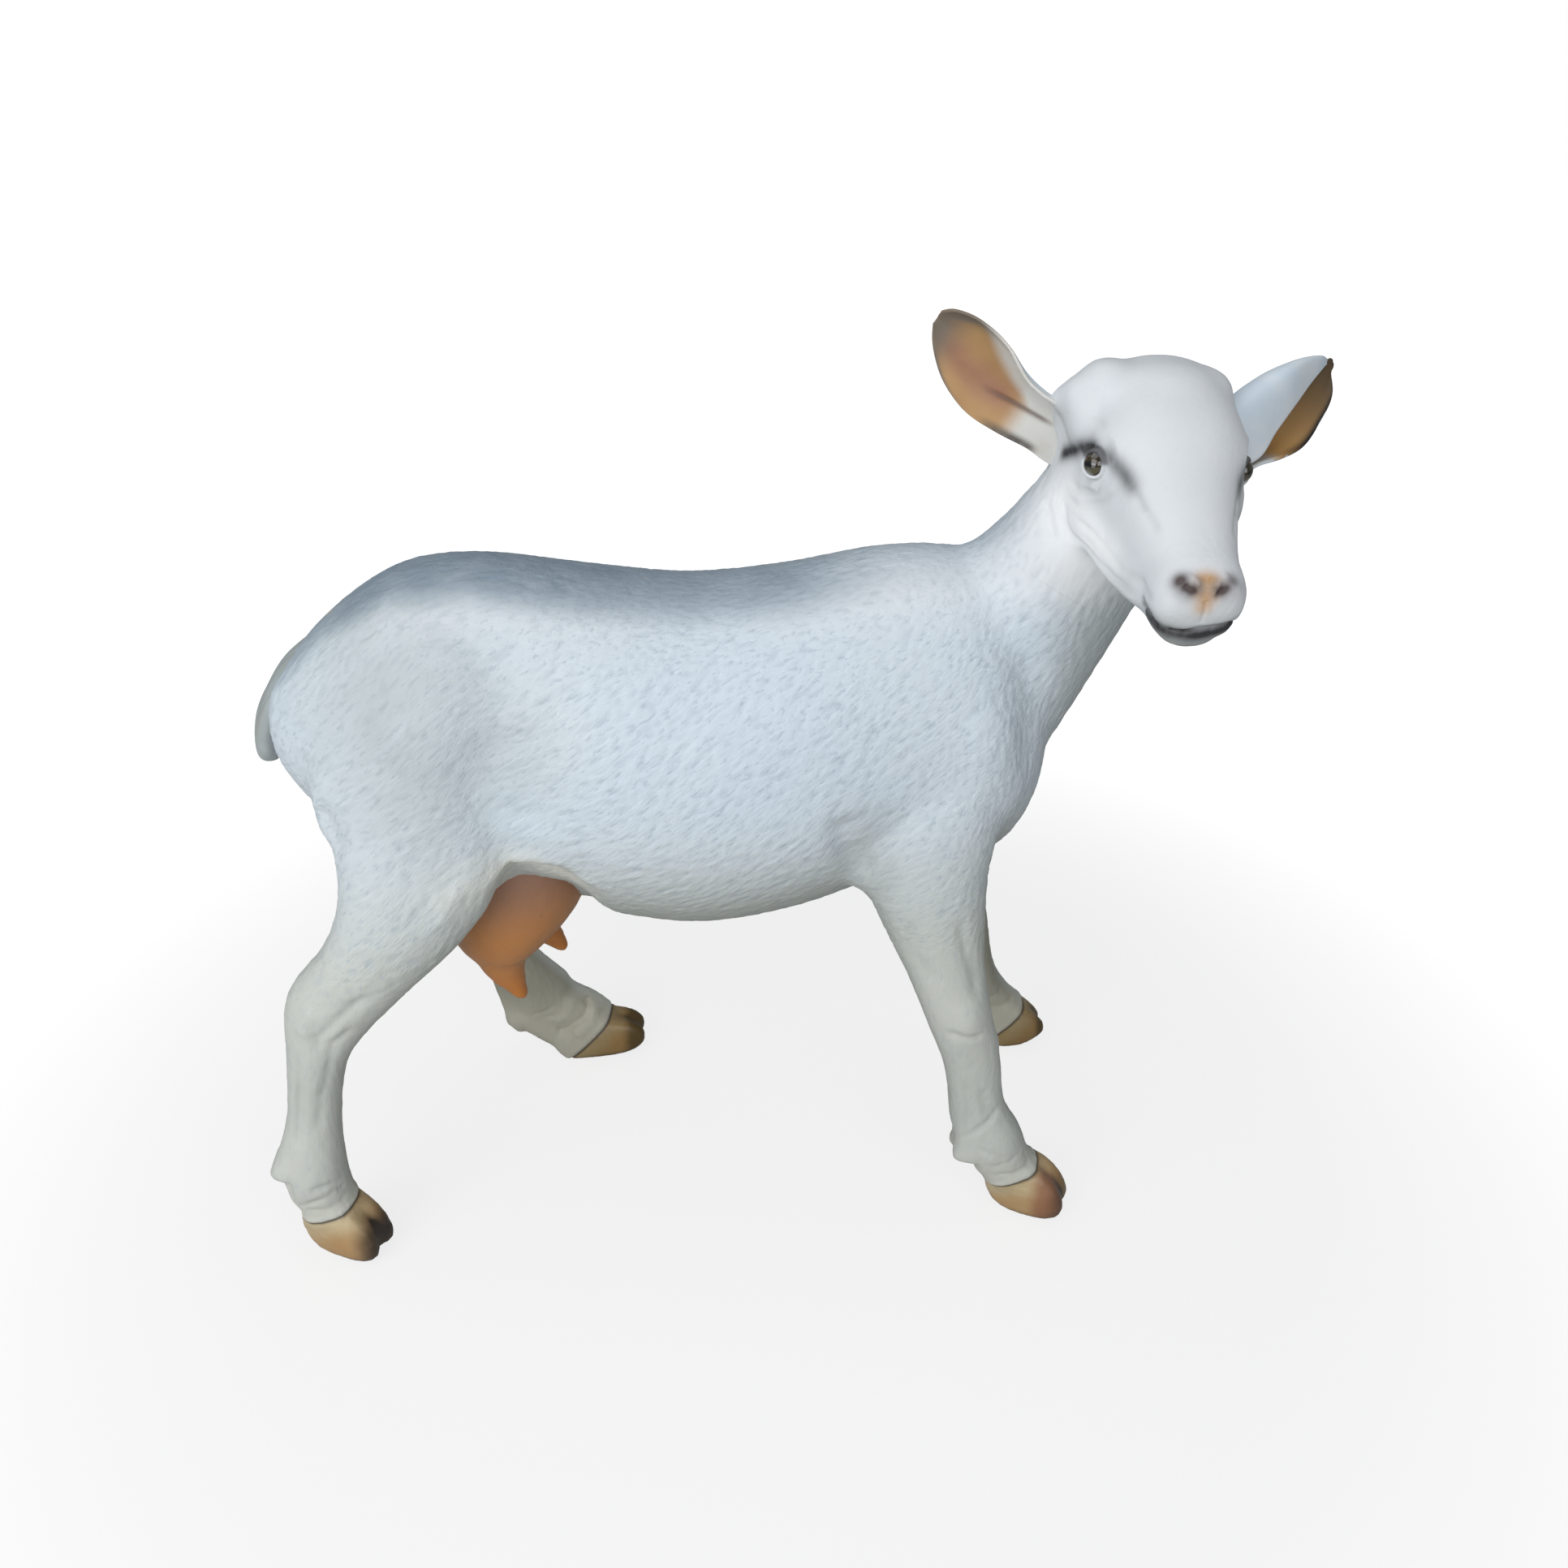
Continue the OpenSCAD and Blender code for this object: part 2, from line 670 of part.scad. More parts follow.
translate(stand_shift) trunk_right_shell();
translate(stand_shift) trunk_left_shell();
translate(stand_shift) back_seam_tape();
translate(stand_shift) belly_seam_tape();
translate(stand_shift) neck_shell();
translate(stand_shift) head_shell();
translate(stand_shift) ear_right();
translate(stand_shift) ear_left();
translate(stand_shift) eye_right();
translate(stand_shift) eye_left();
translate(stand_shift) tail();
translate(stand_shift) udder();
translate(stand_shift) leg_hind_right();
translate(stand_shift) leg_hind_left();
translate(stand_shift) leg_fore_right();
translate(stand_shift) leg_fore_left();
translate(stand_shift) hoof_hind_right();
translate(stand_shift) hoof_hind_left();
translate(stand_shift) hoof_fore_right();
translate(stand_shift) hoof_fore_left();
translate(stand_shift) rod_hind_right();
translate(stand_shift) rod_hind_left();
translate(stand_shift) rod_fore_right();
translate(stand_shift) rod_fore_left();
translate(stand_shift) hip_crossbar();
translate(stand_shift) shoulder_crossbar();
translate(stand_shift) spine_tube();
translate(stand_shift) anchor_sleeves();
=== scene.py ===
import json
import math
import bpy
import bmesh
import numpy as np
from mathutils import Matrix, Vector, noise

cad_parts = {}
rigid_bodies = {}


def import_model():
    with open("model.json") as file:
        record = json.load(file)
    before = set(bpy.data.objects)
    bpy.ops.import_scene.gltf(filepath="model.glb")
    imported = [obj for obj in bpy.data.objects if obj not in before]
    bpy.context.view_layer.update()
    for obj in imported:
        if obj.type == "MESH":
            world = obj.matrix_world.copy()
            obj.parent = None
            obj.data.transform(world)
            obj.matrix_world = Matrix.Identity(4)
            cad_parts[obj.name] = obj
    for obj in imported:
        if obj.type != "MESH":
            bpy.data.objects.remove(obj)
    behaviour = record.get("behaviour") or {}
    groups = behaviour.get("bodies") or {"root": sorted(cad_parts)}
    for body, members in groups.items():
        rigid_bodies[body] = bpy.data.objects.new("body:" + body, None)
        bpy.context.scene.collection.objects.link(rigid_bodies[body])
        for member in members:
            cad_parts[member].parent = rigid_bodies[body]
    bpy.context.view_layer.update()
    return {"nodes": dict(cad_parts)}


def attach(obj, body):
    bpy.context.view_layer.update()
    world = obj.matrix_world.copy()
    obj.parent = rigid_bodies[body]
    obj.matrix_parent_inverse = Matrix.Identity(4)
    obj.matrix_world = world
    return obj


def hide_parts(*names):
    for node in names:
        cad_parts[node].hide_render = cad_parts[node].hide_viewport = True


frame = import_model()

scene = bpy.context.scene
stand = np.array((9.0, 18.5, 0.0))  # millimetres, from the goat's own frame to the library's
sideNames = {-1: "right", 1: "left"}
both = tuple(sideNames)
noise.seed_set(5)  # the hairs wander the same way in every run


def unit(v):
    return v / np.linalg.norm(v)


def spline(rows, steps):
    p = np.array(rows, float)
    out = []
    for i in range(len(p) - 1):
        a, b, c, d = p[max(i - 1, 0)], p[i], p[i + 1], p[min(i + 2, len(p) - 1)]
        for t in np.arange(steps) / steps:
            out.append(0.5 * (2 * b + (c - a) * t + (2 * a - 5 * b + 4 * c - d) * t ** 2
                              + (3 * b - a - 3 * c + d) * t ** 3))
    return np.array(out + [p[-1]])


def fade(x, a, b):
    t = np.clip((np.asarray(x, float) - a) / (b - a), 0, 1)
    return t * t * (3 - 2 * t)


def pull(c, n):
    return math.copysign(abs(c) ** (2 / n), c)


def between(x, a, b, c, d):
    return fade(x, a, b) * fade(x, c, d)


def bell(x, width):
    return np.exp(-(x / width) ** 2)


# A place and a turn about x, y and z in degrees, in the frame of a base
def pose(at, turn=(0, 0, 0), base=Matrix.Identity(4)):
    m = base @ Matrix.Translation(at)
    for angle, axis in zip(turn[::-1], "ZYX"):
        m = m @ Matrix.Rotation(math.radians(angle), 4, axis)
    return m


# The edges, corners or faces that some elements share, each once and in a steady order
def parts(elements, kind):
    return list(dict.fromkeys(p for e in elements for p in getattr(e, kind)))


def into(co, place):
    m = np.array(place.inverted())
    return co @ m[:3, :3].T + m[:3, 3]


# A closed tube of rings; spot says where a corner goes, from its ring, its number and its angle
def tube(bm, rings, corners, spot):
    layers = bm.verts.layers
    order = layers.int.get("order") or layers.int.new("order")
    angle = layers.float.get("angle") or layers.float.new("angle")
    for i in range(rings):
        if i == 0:
            verts = bmesh.ops.create_circle(bm, cap_ends=True, segments=corners, radius=1)["verts"]
            for k, q in enumerate(verts):
                q[order], q[angle] = k, math.atan2(q.co.y, q.co.x)
            edges = parts(verts, "link_edges")
        else:
            grown = bmesh.ops.extrude_edge_only(bm, edges=edges)["geom"]
            verts = [g for g in grown if isinstance(g, bmesh.types.BMVert)]
            edges = [g for g in grown if isinstance(g, bmesh.types.BMEdge) and g.is_boundary]
        for q in verts:
            q.co = spot(i, q[order], q[angle])
    bmesh.ops.contextual_create(bm, geom=edges)


# An oval tube along stations of x, y, z, upper and lower radius, half width and squareness
def loft(bm, rows, corners=40, steps=6, way=None, taper=0.0, place=Matrix.Identity(4)):
    s = spline(rows, steps)
    frames = []
    for i in range(len(s)):
        t = unit(np.array(way or s[min(i + 1, len(s) - 1), :3] - s[max(i - 1, 0), :3], float))
        v = unit(np.array((0, 1, 0)) - t * t[1])
        frames.append((np.cross(t, v), v))

    def spot(i, k, angle):
        u, v = frames[i]
        upper, lower, half, square = s[i, 3:]
        c, w = pull(math.cos(angle), square), pull(math.sin(angle), square)
        p = s[i, :3] + u * (upper if c > 0 else lower) * c + v * half * w * (1 - taper * max(-c, 0))
        return place @ Vector(p)

    tube(bm, len(s), corners, spot)


# A pillow whose middle section is the outline and which rounds off to both sides
def pillow(bm, outline, half, square, place, slices=12):
    ring = spline(outline[-2:] + outline + outline[:2], 4)[8:-8][:-1]
    hub = ring.mean(0)

    def spot(i, k, angle):
        t = math.sin((i / slices - 0.5) * math.pi * 0.985)
        p = hub + (ring[k] - hub) * max(1 - abs(t) ** square, 0) ** (1 / square)
        return place @ Vector((p[0], t * half, p[1]))

    tube(bm, slices + 1, len(ring), spot)


# A rounded mass of clay, turned and stretched where it is pressed on
def lump(bm, at, size, turn, place=Matrix.Identity(4)):
    m = place @ (pose(at, turn) @ Matrix.Diagonal((*size, 1)))
    bmesh.ops.create_icosphere(bm, subdivisions=3, radius=1, matrix=m)


def asMesh(bm, name):
    bmesh.ops.recalc_face_normals(bm, faces=bm.faces)
    mesh = bpy.data.meshes.new(name)
    bm.to_mesh(mesh)
    bm.free()
    return mesh


# The mesh after some modifiers, given as type and settings
def finished(mesh, *mods):
    ob = bpy.data.objects.new("clay", mesh)
    scene.collection.objects.link(ob)
    for kind, values in mods:
        mod = ob.modifiers.new(kind.lower(), kind)
        for key, value in values.items():
            setattr(mod, key, value)
    out = bpy.data.meshes.new_from_object(ob.evaluated_get(bpy.context.evaluated_depsgraph_get()))
    bpy.data.objects.remove(ob)
    bpy.data.meshes.remove(mesh)
    return out


def pulled(items, key, width, kind=float):
    values = np.empty(len(items) * width, kind)
    items.foreach_get(key, values)
    return values.reshape(-1, width)


def points(mesh):
    return pulled(mesh.vertices, "co", 3)


def outward(mesh):
    return pulled(mesh.vertex_normals, "vector", 3)


def setPoints(mesh, co):
    mesh.vertices.foreach_set("co", np.ascontiguousarray(co).ravel())
    mesh.update()


# Draw each point towards its neighbours, as far as slack says
def relax(mesh, slack, times):
    co = points(mesh)
    a, b = pulled(mesh.edges, "vertices", 2, np.int32).T
    n, weight = len(co), slack(co)
    count = np.bincount(a, minlength=n) + np.bincount(b, minlength=n)
    for _ in range(times):
        for k in range(3):
            c = co[:, k]
            mean = (np.bincount(a, c[b], n) + np.bincount(b, c[a], n)) / count
            co[:, k] = c + weight * (mean - c)
    setPoints(mesh, co)


# One even skin over the clay, of a voxel size, relaxed
def skinned(mesh, size, slack=lambda co: 0.5, times=3):
    mesh = finished(mesh, ("REMESH", {"mode": "VOXEL", "voxel_size": size}))
    relax(mesh, slack, times)
    return mesh


# Raise or sink the skin along its normals
def press(mesh, push):
    co = points(mesh) + outward(mesh) * push[:, None]
    setPoints(mesh, co)
    return co


def noiseAt(spots):
    return np.array([noise.noise(Vector(p)) for p in spots])


# Distance from each point to a line of points, and how far along the line that is, from 0 to 1
def reach(co, line, within):
    line = np.array(line, float)
    if len(line) == 1:
        line = np.array((line[0], line[0] + 0.01))
    far = np.full(len(co), 1e6)
    where = np.zeros(len(co))
    near = np.flatnonzero(((co > line.min(0) - within) & (co < line.max(0) + within)).all(1))
    p = co[near]
    long = np.linalg.norm(np.diff(line, axis=0), axis=1)
    start = np.concatenate(((0,), np.cumsum(long)))
    best, at = np.full(len(near), 1e6), np.zeros(len(near))
    for i in range(len(line) - 1):
        d = line[i + 1] - line[i]
        t = np.clip((p - line[i]) @ d / (d @ d), 0, 1)
        r = np.linalg.norm(p - line[i] - t[:, None] * d, axis=1)
        closer = r < best
        best = np.where(closer, r, best)
        at = np.where(closer, (start[i] + t * long[i]) / start[-1], at)
    far[near], where[near] = best, at
    return far, where


# A brush mark along a line: 1 on the line, falling off over the radius, thin towards its ends
def mark(co, line, radius, ends=0.25):
    d, t = reach(co, line, radius * 3)
    soft = fade(t, -0.001, ends) * fade(1 - t, -0.001, ends) if ends else 1
    return bell(d, radius) * soft


# Marks on both sides; a row is a line, a radius, a strength and, where it isn't as usual, the thin ends
def strokes(co, rows, shift=(0, 0, 0)):
    total = np.zeros(len(co))
    for line, radius, strength, *ends in rows:
        for side in both:
            total += strength * mark(co, np.array(line) * (1, side, 1) + shift, radius, *ends)
    return total


print("helpers ready")

# Camera, at the photograph's viewing angle
view = {"at": (-0.0477, -0.9649, 1.0), "pitch": 60, "yaw": -3.3, "lens": 27.95, "sensor": 36}
camera = bpy.data.objects.new("camera", bpy.data.cameras.new("camera"))
camera.location = view["at"]
camera.rotation_euler = (math.radians(view["pitch"]), 0, math.radians(view["yaw"]))
camera.data.lens, camera.data.sensor_width = view["lens"], view["sensor"]
camera.data.sensor_fit = "HORIZONTAL"
camera.data.clip_start = 0.01
scene.collection.objects.link(camera)
scene.camera = camera

# Body: the trunk, neck and legs as one skin of clay
trunkRows = [
    (-447, 0, 515, 22, 26, 24, 2), (-433, 0, 512, 51, 55, 52, 2), (-385, 0, 502, 110, 97, 87, 2.1),
    (-323, 0, 492, 158, 126, 107, 2.2), (-255, 0, 484, 173, 148, 113, 2.2), (-165, 0, 470, 173, 147, 128, 2.2),
    (-80, 0, 462, 172, 154, 132, 2.15), (5, 0, 472, 169, 151, 129, 2.15), (85, 0, 488, 170, 147, 115, 1.95),
    (156, 0, 502, 153, 153, 99, 1.9), (204, 0, 496, 119, 124, 77, 2), (228, 0, 484, 56, 69, 50, 2),
    (234, 0, 478, 20, 30, 22, 2)]
neckRows = [
    (124, 0, 470, 183, 100, 60, 2), (172, 0, 546, 119, 95, 68, 2), (222, -2, 620, 75, 81, 58, 2),
    (254, -9, 682, 57, 72, 50, 2), (276, -24, 736, 51, 59, 46, 2), (286, -44, 778, 34, 40, 38, 2)]
stance = {"hind": 138, "fore": 125}
feet = {  # how far forward each foot stands, how its pastern leans and how low it sinks
    ("hind", -1): (-440, 15, 0), ("hind", 1): (-212, 70, 16), ("fore", -1): (240, 0, 0),
    ("fore", 1): (281, 0, 0)}
lowFoot = ("hind", 1)  # its pastern lies close to the floor
legTop = 334  # where the legs join the trunk


def hindRows(foot, side, lean, sink):
    y, x = side * stance["hind"], foot - lean
    b = (x + 300) / 156
    return [
        (-306, side * 66, 545, 70, 74, 34, 2), (-310, side * 76, 490, 84, 93, 42, 2.1),
        (-298 + 12 * b, side * 92, 430, 72, 88, 42, 2.1), (-304 + 30 * b, side * 106, 378, 56, 63, 40, 2.1),
        (-326 + 46 * b, y * 0.83, 328, 43, 43, 35, 2.1), (-343 + 66 * b, y * 0.88, 280, 34, 45, 29, 2.1),
        (-344 + 88 * b, y * 0.92, 234, 27, 27, 25, 2.1), (-326 + 120 * b, y * 0.96, 162, 24, 25, 21, 2.2),
        (x, y, 100 - sink, 30 + sink * 0.9, 31, 27, 2.2),
        (x + lean * 0.3, y, 70 - sink / 2, 27 + sink * 0.8, 27, 24, 2.3),
        (foot - 8, y, 44, 28, 26, 22, 2.3), (foot - 2, y, 20, 22, 20, 15, 2.3)]


def foreRows(foot, side):
    y, lead = side * stance["fore"], foot - 240
    return [
        (138 + lead / 4, side * 52, 520, 62, 62, 36, 2), (126 + lead / 3, side * 72, 450, 64, 66, 40, 2.1),
        (120 + lead / 2, side * 86, 396, 61 - lead * 0.2, 57, 38, 2.1),
        (130 + lead * 0.6, side * 98, 344, 49 - lead * 0.2, 46, 34, 2.1),
        (142 + lead * 0.7, y * 0.86, 292, 38, 34, 30, 2.1), (157 + lead * 0.8, y * 0.92, 240, 32, 29, 28, 2.2),
        (170 + lead * 0.85, y * 0.95, 192, 30, 25, 23, 2.2),
        (182 + lead * 0.9, y * 0.98, 134, 27, 27, 22, 2.2),
        (foot - 42, y, 94, 31 - lead * 0.3, 33, 27, 2.2), (foot - 26, y, 62, 27 - lead * 0.1, 28, 24, 2.3),
        (foot - 12, y, 40, 28, 25, 22, 2.3), (foot, y, 18, 22, 20, 15, 2.3)]


legRows = {(kind, side): hindRows(foot, side, lean, sink) if kind == "hind" else foreRows(foot, side)
           for (kind, side), (foot, lean, sink) in feet.items()}

# Claws: the side outline of one claw, forward and up; where and how steeply the coronet crosses it
claws = {
    ("hind", -1): {"coronet": (-5, 56, 18), "toeOut": 22, "shift": (0, -1), "outline": [
        (-36, 50), (-39, 38), (-37, 22), (-30, 7), (-18, 0), (5, -2), (24, -2), (37, 2), (45, 12), (45, 25),
        (38, 41), (25, 56), (5, 66), (-19, 68), (-31, 60)]},
    ("hind", 1): {"coronet": (-4, 32, 46), "toeOut": 5, "shift": (0, -7), "outline": [
        (-52, 14), (-47, 4), (-38, -1), (-22, -2), (0, -2), (22, -1), (40, 3), (51, 10), (56, 20), (54, 32),
        (46, 41), (32, 47), (16, 51), (-4, 58), (-28, 50), (-46, 30)]},
    ("fore", -1): {"coronet": (-5, 55, 24), "toeOut": 24, "shift": (-1, -2), "outline": [
        (-43, 46), (-41, 28), (-33, 10), (-20, 1), (-2, -2), (17, -2), (31, 1), (41, 10), (42, 22), (36, 37),
        (23, 52), (5, 62), (-20, 64), (-36, 57)]},
    ("fore", 1): {"coronet": (-14, 33, 46), "toeOut": 5, "shift": (2, -4), "outline": [
        (-38, 16), (-34, 5), (-25, 0), (-10, -2), (6, -1), (20, 5), (33, 16), (36, 23), (27, 36), (13, 50),
        (0, 59), (-14, 65), (-30, 58), (-38, 38)]},
}
clawShape = {"apart": 11.5, "half": 12.8, "square": 2.5}


# A point on a foot's coronet and the way up from it
def coronet(kind, side):
    u, z, tilt = claws[kind, side]["coronet"]
    lean = math.radians(tilt)
    return (np.array((feet[kind, side][0] + u, side * stance[kind], z)),
            np.array((-math.sin(lean), 0, math.cos(lean))))


def overCoronet(co, kind, side):
    point, up = coronet(kind, side)
    return (np.asarray(co) - point) @ up


# Where a foot's claws stand
def atFoot(kind, side):
    own = claws[kind, side]
    return pose((feet[kind, side][0] + own["shift"][0], side * stance[kind] + own["shift"][1], 0),
                (0, 0, side * own["toeOut"]))


# The points that belong to a foot
def nearFoot(co, kind, side):
    return (np.abs(co[:, 0] - feet[kind, side][0]) < 75) & (co[:, 1] * side > 60) & (co[:, 2] < 100)


# Head, in its own frame: x along the face, z up, y to the goat's left, the origin between the eyes
head = {"at": (289, -80, 746), "turn": -91, "nod": 21, "tilt": -4}
atHead = pose(head["at"], (head["tilt"], head["nod"], head["turn"]))
headRows = [
    (-92, 0, 0, 26, 22, 26, 2), (-84, 0, -2, 47, 44, 50, 2.2), (-58, 0, -6, 57, 72, 60, 2.3),
    (-28, 0, -8, 60, 82, 62, 2.3), (4, 0, -8, 53, 77, 60, 2.3), (34, 0, -14, 43, 69, 48, 2.3),
    (68, 0, -22, 38, 56, 40, 2.3), (96, 0, -26, 33, 44, 35, 2.3), (118, 0, -28, 31, 37, 36, 2.3),
    (133, 0, -29, 23, 28, 29, 2.2), (138, 0, -29, 10, 12, 14, 2)]
earPlace = {-1: {"root": (-48, -58, -18), "sweep": 118, "lift": 21, "roll": 93},
            1: {"root": (-48, 58, -5), "sweep": 116, "lift": 3, "roll": 77}}


def atEar(side):
    p = earPlace[side]
    return pose(p["root"], (side * p["roll"], -p["lift"], side * p["sweep"]), atHead)


def inHead(co):
    return into(co, atHead)


skin = {"rough": 5.0, "fine": 2.4, "arch": 30}  # voxel sizes and the lift of the belly, millimetres
dewclaw = {"hind": (4, 15), "fore": (3, -9)}  # back and up from the fetlock
farJaw = 0.86  # the far side of the jaw is drawn in
sideForms = {  # place, size and turn, on both sides
    "haunch": ((-285, 60, 530), (84, 56, 96), (0, 24, 0)), "rump": ((-386, 82, 486), (18, 20, 16), (0, 40, 0)),
    "shoulder": ((150, 60, 500), (60, 42, 100), (0, -14, 0)),
    "elbow": ((88, 92, 410), (34, 26, 46), (0, 24, 0))}
sideFaceForms = {
    "cheek": ((-22, 40, -46), (46, 24, 42), (0, 25, 6)), "brow": ((-4, 52, 14), (22, 10, 10), (0, 0, -10)),
    "lip": ((122, 15, -27), (16, 20, 17), (0, 0, 0)), "noseWing": ((126, 15, -10), (10, 12, 10), (0, 30, 0))}
faceForms = {
    "nearPoll": ((-60, -44, 28), (28, 25, 22), (0, -10, 0)),
    "farPoll": ((-58, 31, 28), (28, 24, 20), (0, -10, 0)),
    "nearEarRoot": ((-47, -59, 6), (22, 15, 22), (0, 0, 0)),
    "farEarRoot": ((-58, 49, 2), (24, 22, 22), (0, 0, 0)),
    "cheekbone": ((8, 48, -18), (38, 13, 22), (0, 0, -8)),
    "behindJaw": ((-34, -48, -76), (36, 20, 40), (0, 30, 0)),
    "chin": ((119, 0, -51), (19, 25, 14), (0, 12, 0)), "poll": ((-50, 0, 37), (36, 40, 18), (0, -10, 0))}
lowPastern = [(-297, 133, 62, 18, 16, 20, 2), (-276, 132, 40, 20, 18, 20, 2), (-252, 131, 22, 18, 18, 18, 2)]
earStalk = [
    (-26, 0, -10, 18, 20, 31, 2), (-6, 0, -12, 13, 14, 26, 2), (10, 0, -17, 10, 10, 23, 2),
    (24, 0, -21, 6, 6, 18, 2), (34, 0, -24, 4, 4, 10, 2)]
jaw = [(-20, 50, -53, 17, 17, 16, 2), (28, 39, -57, 17, 16, 14, 2), (62, 34, -51, 16, 15, 13, 2),
       (98, 27, -43, 12, 12, 12, 2)]
earSkin = [  # from the poll to the near ear
    (-58, -40, 24, 20, 20, 20, 2), (-58, -60, 18, 18, 20, 22, 2), (-64, -72, 10, 10, 16, 14, 2),
    (-70, -84, 4, 4, 10, 6, 2)]
bm = bmesh.new()
loft(bm, trunkRows, 56, 6, (1, 0, 0))
loft(bm, neckRows, 40, 8)
loft(bm, headRows, 44, 6, (1, 0, 0), 0.14, atHead)
for (kind, side), rows in legRows.items():
    loft(bm, rows, 32, 6)
    knee, cannon, fetlock = (np.array(rows[k]) for k in (6, 7, 8))
    x, y, z = fetlock[:3] - (fetlock[4], 0, 44 if (kind, side) == lowFoot else 4)
    tendon = [  # down to a ledge
        (knee[0] - 10, *knee[1:3], 10, 12, 12, 2), (cannon[0] - cannon[4] + 11, *cannon[1:3], 12, 13, 14, 2),
        (x + 9, y, z + 12, 14, 14, 19, 2.2), (x + 8, y, z, 13, 13, 18, 2.2)]
    loft(bm, tendon, 20, 5)
    for edge in both:
        lump(bm, (x + dewclaw[kind][0], y + edge * 11, z + dewclaw[kind][1]), (9, 9, 7), (0, 20, 0))
    if (kind, side) == lowFoot:
        loft(bm, lowPastern, 20, 5)
    for claw in both:
        pillow(bm, claws[kind, side]["outline"], clawShape["half"], clawShape["square"],
               pose((0, claw * clawShape["apart"], 0), base=atFoot(kind, side)))
for side in both:
    loft(bm, earStalk, 28, 5, place=atEar(side))
    for forms, place in ((sideForms, Matrix.Identity(4)), (sideFaceForms, atHead)):
        for (x, y, z), size, (roll, pitch, yaw) in forms.values():
            lump(bm, (x, side * y, z), size, (roll, pitch, side * yaw), place)
    spread = side if side < 0 else farJaw
    loft(bm, [(x, y * spread, z, *shape) for x, y, z, *shape in jaw], 24, 5, place=atHead)
for form in faceForms.values():
    lump(bm, *form, atHead)
loft(bm, earSkin, 24, 5, place=atHead)
print("clay forms", len(bm.verts))


def zones(co):
    h = inHead(co)
    inFace = fade(h[:, 0] * 0.72 + h[:, 2] * 0.69 + 72, 0, 30) * fade(co[:, 2], 590, 640)
    return h, inFace, fade(co[:, 2], 350, 260)


# Lift the belly beside the udder, and keep the face and legs firmer than the trunk
def bodySlack(co):
    x, y, z = co.T
    arch = between(x, -268, -238, -158, -196) * fade(np.abs(y), 24, 58) * between(z, 440, 385, 250, 300)
    co[:, 2] += skin["arch"] * arch
    h, inFace, onLeg = zones(co)
    return np.clip(0.5 - 0.38 * onLeg - (0.25 + 0.15 * fade(h[:, 0], 50, 100)) * inFace, 0.08, 0.5)


body = skinned(asMesh(bm, "body"), skin["rough"], bodySlack, 12)
body = skinned(body, skin["fine"])
print("skin", len(body.vertices))

# Finer faces where the face, the eyes and the coronets are carved
fineSpots = (  # how near, then places in the head's frame
    (34, ((92, 0, -25), (112, 0, -25), (66, 0, -20), (36, 20, -20), (36, -20, -20), (10, 48, -6),
          (10, -48, -6), (0, 52, -40), (0, -52, -40), (124, 0, -40))),
    (17, ((0, 56, 0), (0, -56, 0), (132, 0, -18))))
bm = bmesh.new()
bm.from_mesh(body)


def finer(faces):
    bmesh.ops.subdivide_edges(bm, edges=parts(faces, "edges"), cuts=1, use_grid_fill=True)


for within, spots in fineSpots:
    centres = [atHead @ Vector(p) for p in spots]
    finer([f for f in bm.faces if f.verts[0].co.z > 620 and f.verts[0].co.y < 20
           and any((f.verts[0].co - c).length < within for c in centres)])
mid = np.array([f.verts[0].co for f in bm.faces])
near = np.zeros(len(mid), bool)
for foot in feet:
    near |= nearFoot(mid, *foot) & (np.abs(overCoronet(mid, *foot)) < 7)
finer([f for f, n in zip(bm.faces, near) if n])
bmesh.ops.triangulate(bm, faces=[f for f in bm.faces if len(f.verts) > 4])
bm.to_mesh(body)
bm.free()
h = inHead(points(body))
relax(body, lambda co: 0.4 * (zones(co)[1] > 0.5), 3)
co, normal = points(body), outward(body)
print("carving", len(co))

# Brush strokes in the head's frame: line, radius and height, a groove below 0; mirrored to the other side
faceStrokes = [
    ([(38, 40, 9), (56, 34, 4), (75, 29, 2), (85, 27, 1)], 3.0, -1.0),
    ([(-29, 65, -36), (-8, 60, -31), (11, 55, -18), (24, 51, -2)], 3.2, -1.5),
    ([(-20, 63, -24), (-2, 62, -22), (16, 55, -13)], 3.4, 1.0),
    ([(-23, 66, -48), (3, 60, -39), (20, 52, -21), (34, 45, 5)], 3.2, -1.0),
    ([(-25, 68, -55), (-12, 64, -63), (5, 57, -68), (40, 50, -60), (70, 45, -51), (96, 38, -41),
      (112, 34, -37)], 4.0, -1.9),
    ([(-7, 63, -50), (18, 54, -48), (49, 46, -44), (78, 41, -39), (96, 37, -36)], 3.4, -1.3),
    ([(10, 56, -57), (34, 50, -53), (58, 46, -48)], 3.0, -0.9),
    ([(75, 40, -38), (91, 36, -33), (107, 35, -26)], 3.0, -1.1),
    ([(94, 36, -33), (111, 35, -27), (124, 33, -25)], 2.8, -1.1),
    ([(-56, 62, 2), (-40, 60, 14), (-22, 57, 22), (-6, 52, 25)], 2.8, -0.8),
    ([(-58, 60, 11), (-42, 56, 23), (-24, 52, 30)], 2.6, -0.6),
]
noseStrokes = [([(127, 17, -5), (130, 13, -7), (131, 9, -9), (130, 6, -8)], 3.2, -4.5),
               ([(126, 18, -6), (128, 17, -11)], 2.0, -2.0),
               ([(121, 17, 1), (126, 11, 1), (131, 5, -5)], 2.6, 1.3)]
noseMid = (0, -3, 0)  # the nose turns a little to the right
mouthLine = [(106, -35, -38), (113, -34, -38), (122, -33, -38), (127, -27, -41), (133, -18, -41),
             (136, -8, -41), (138, 0, -38), (138, 10, -36), (136, 21, -34), (130, 28, -35), (120, 33, -38)]
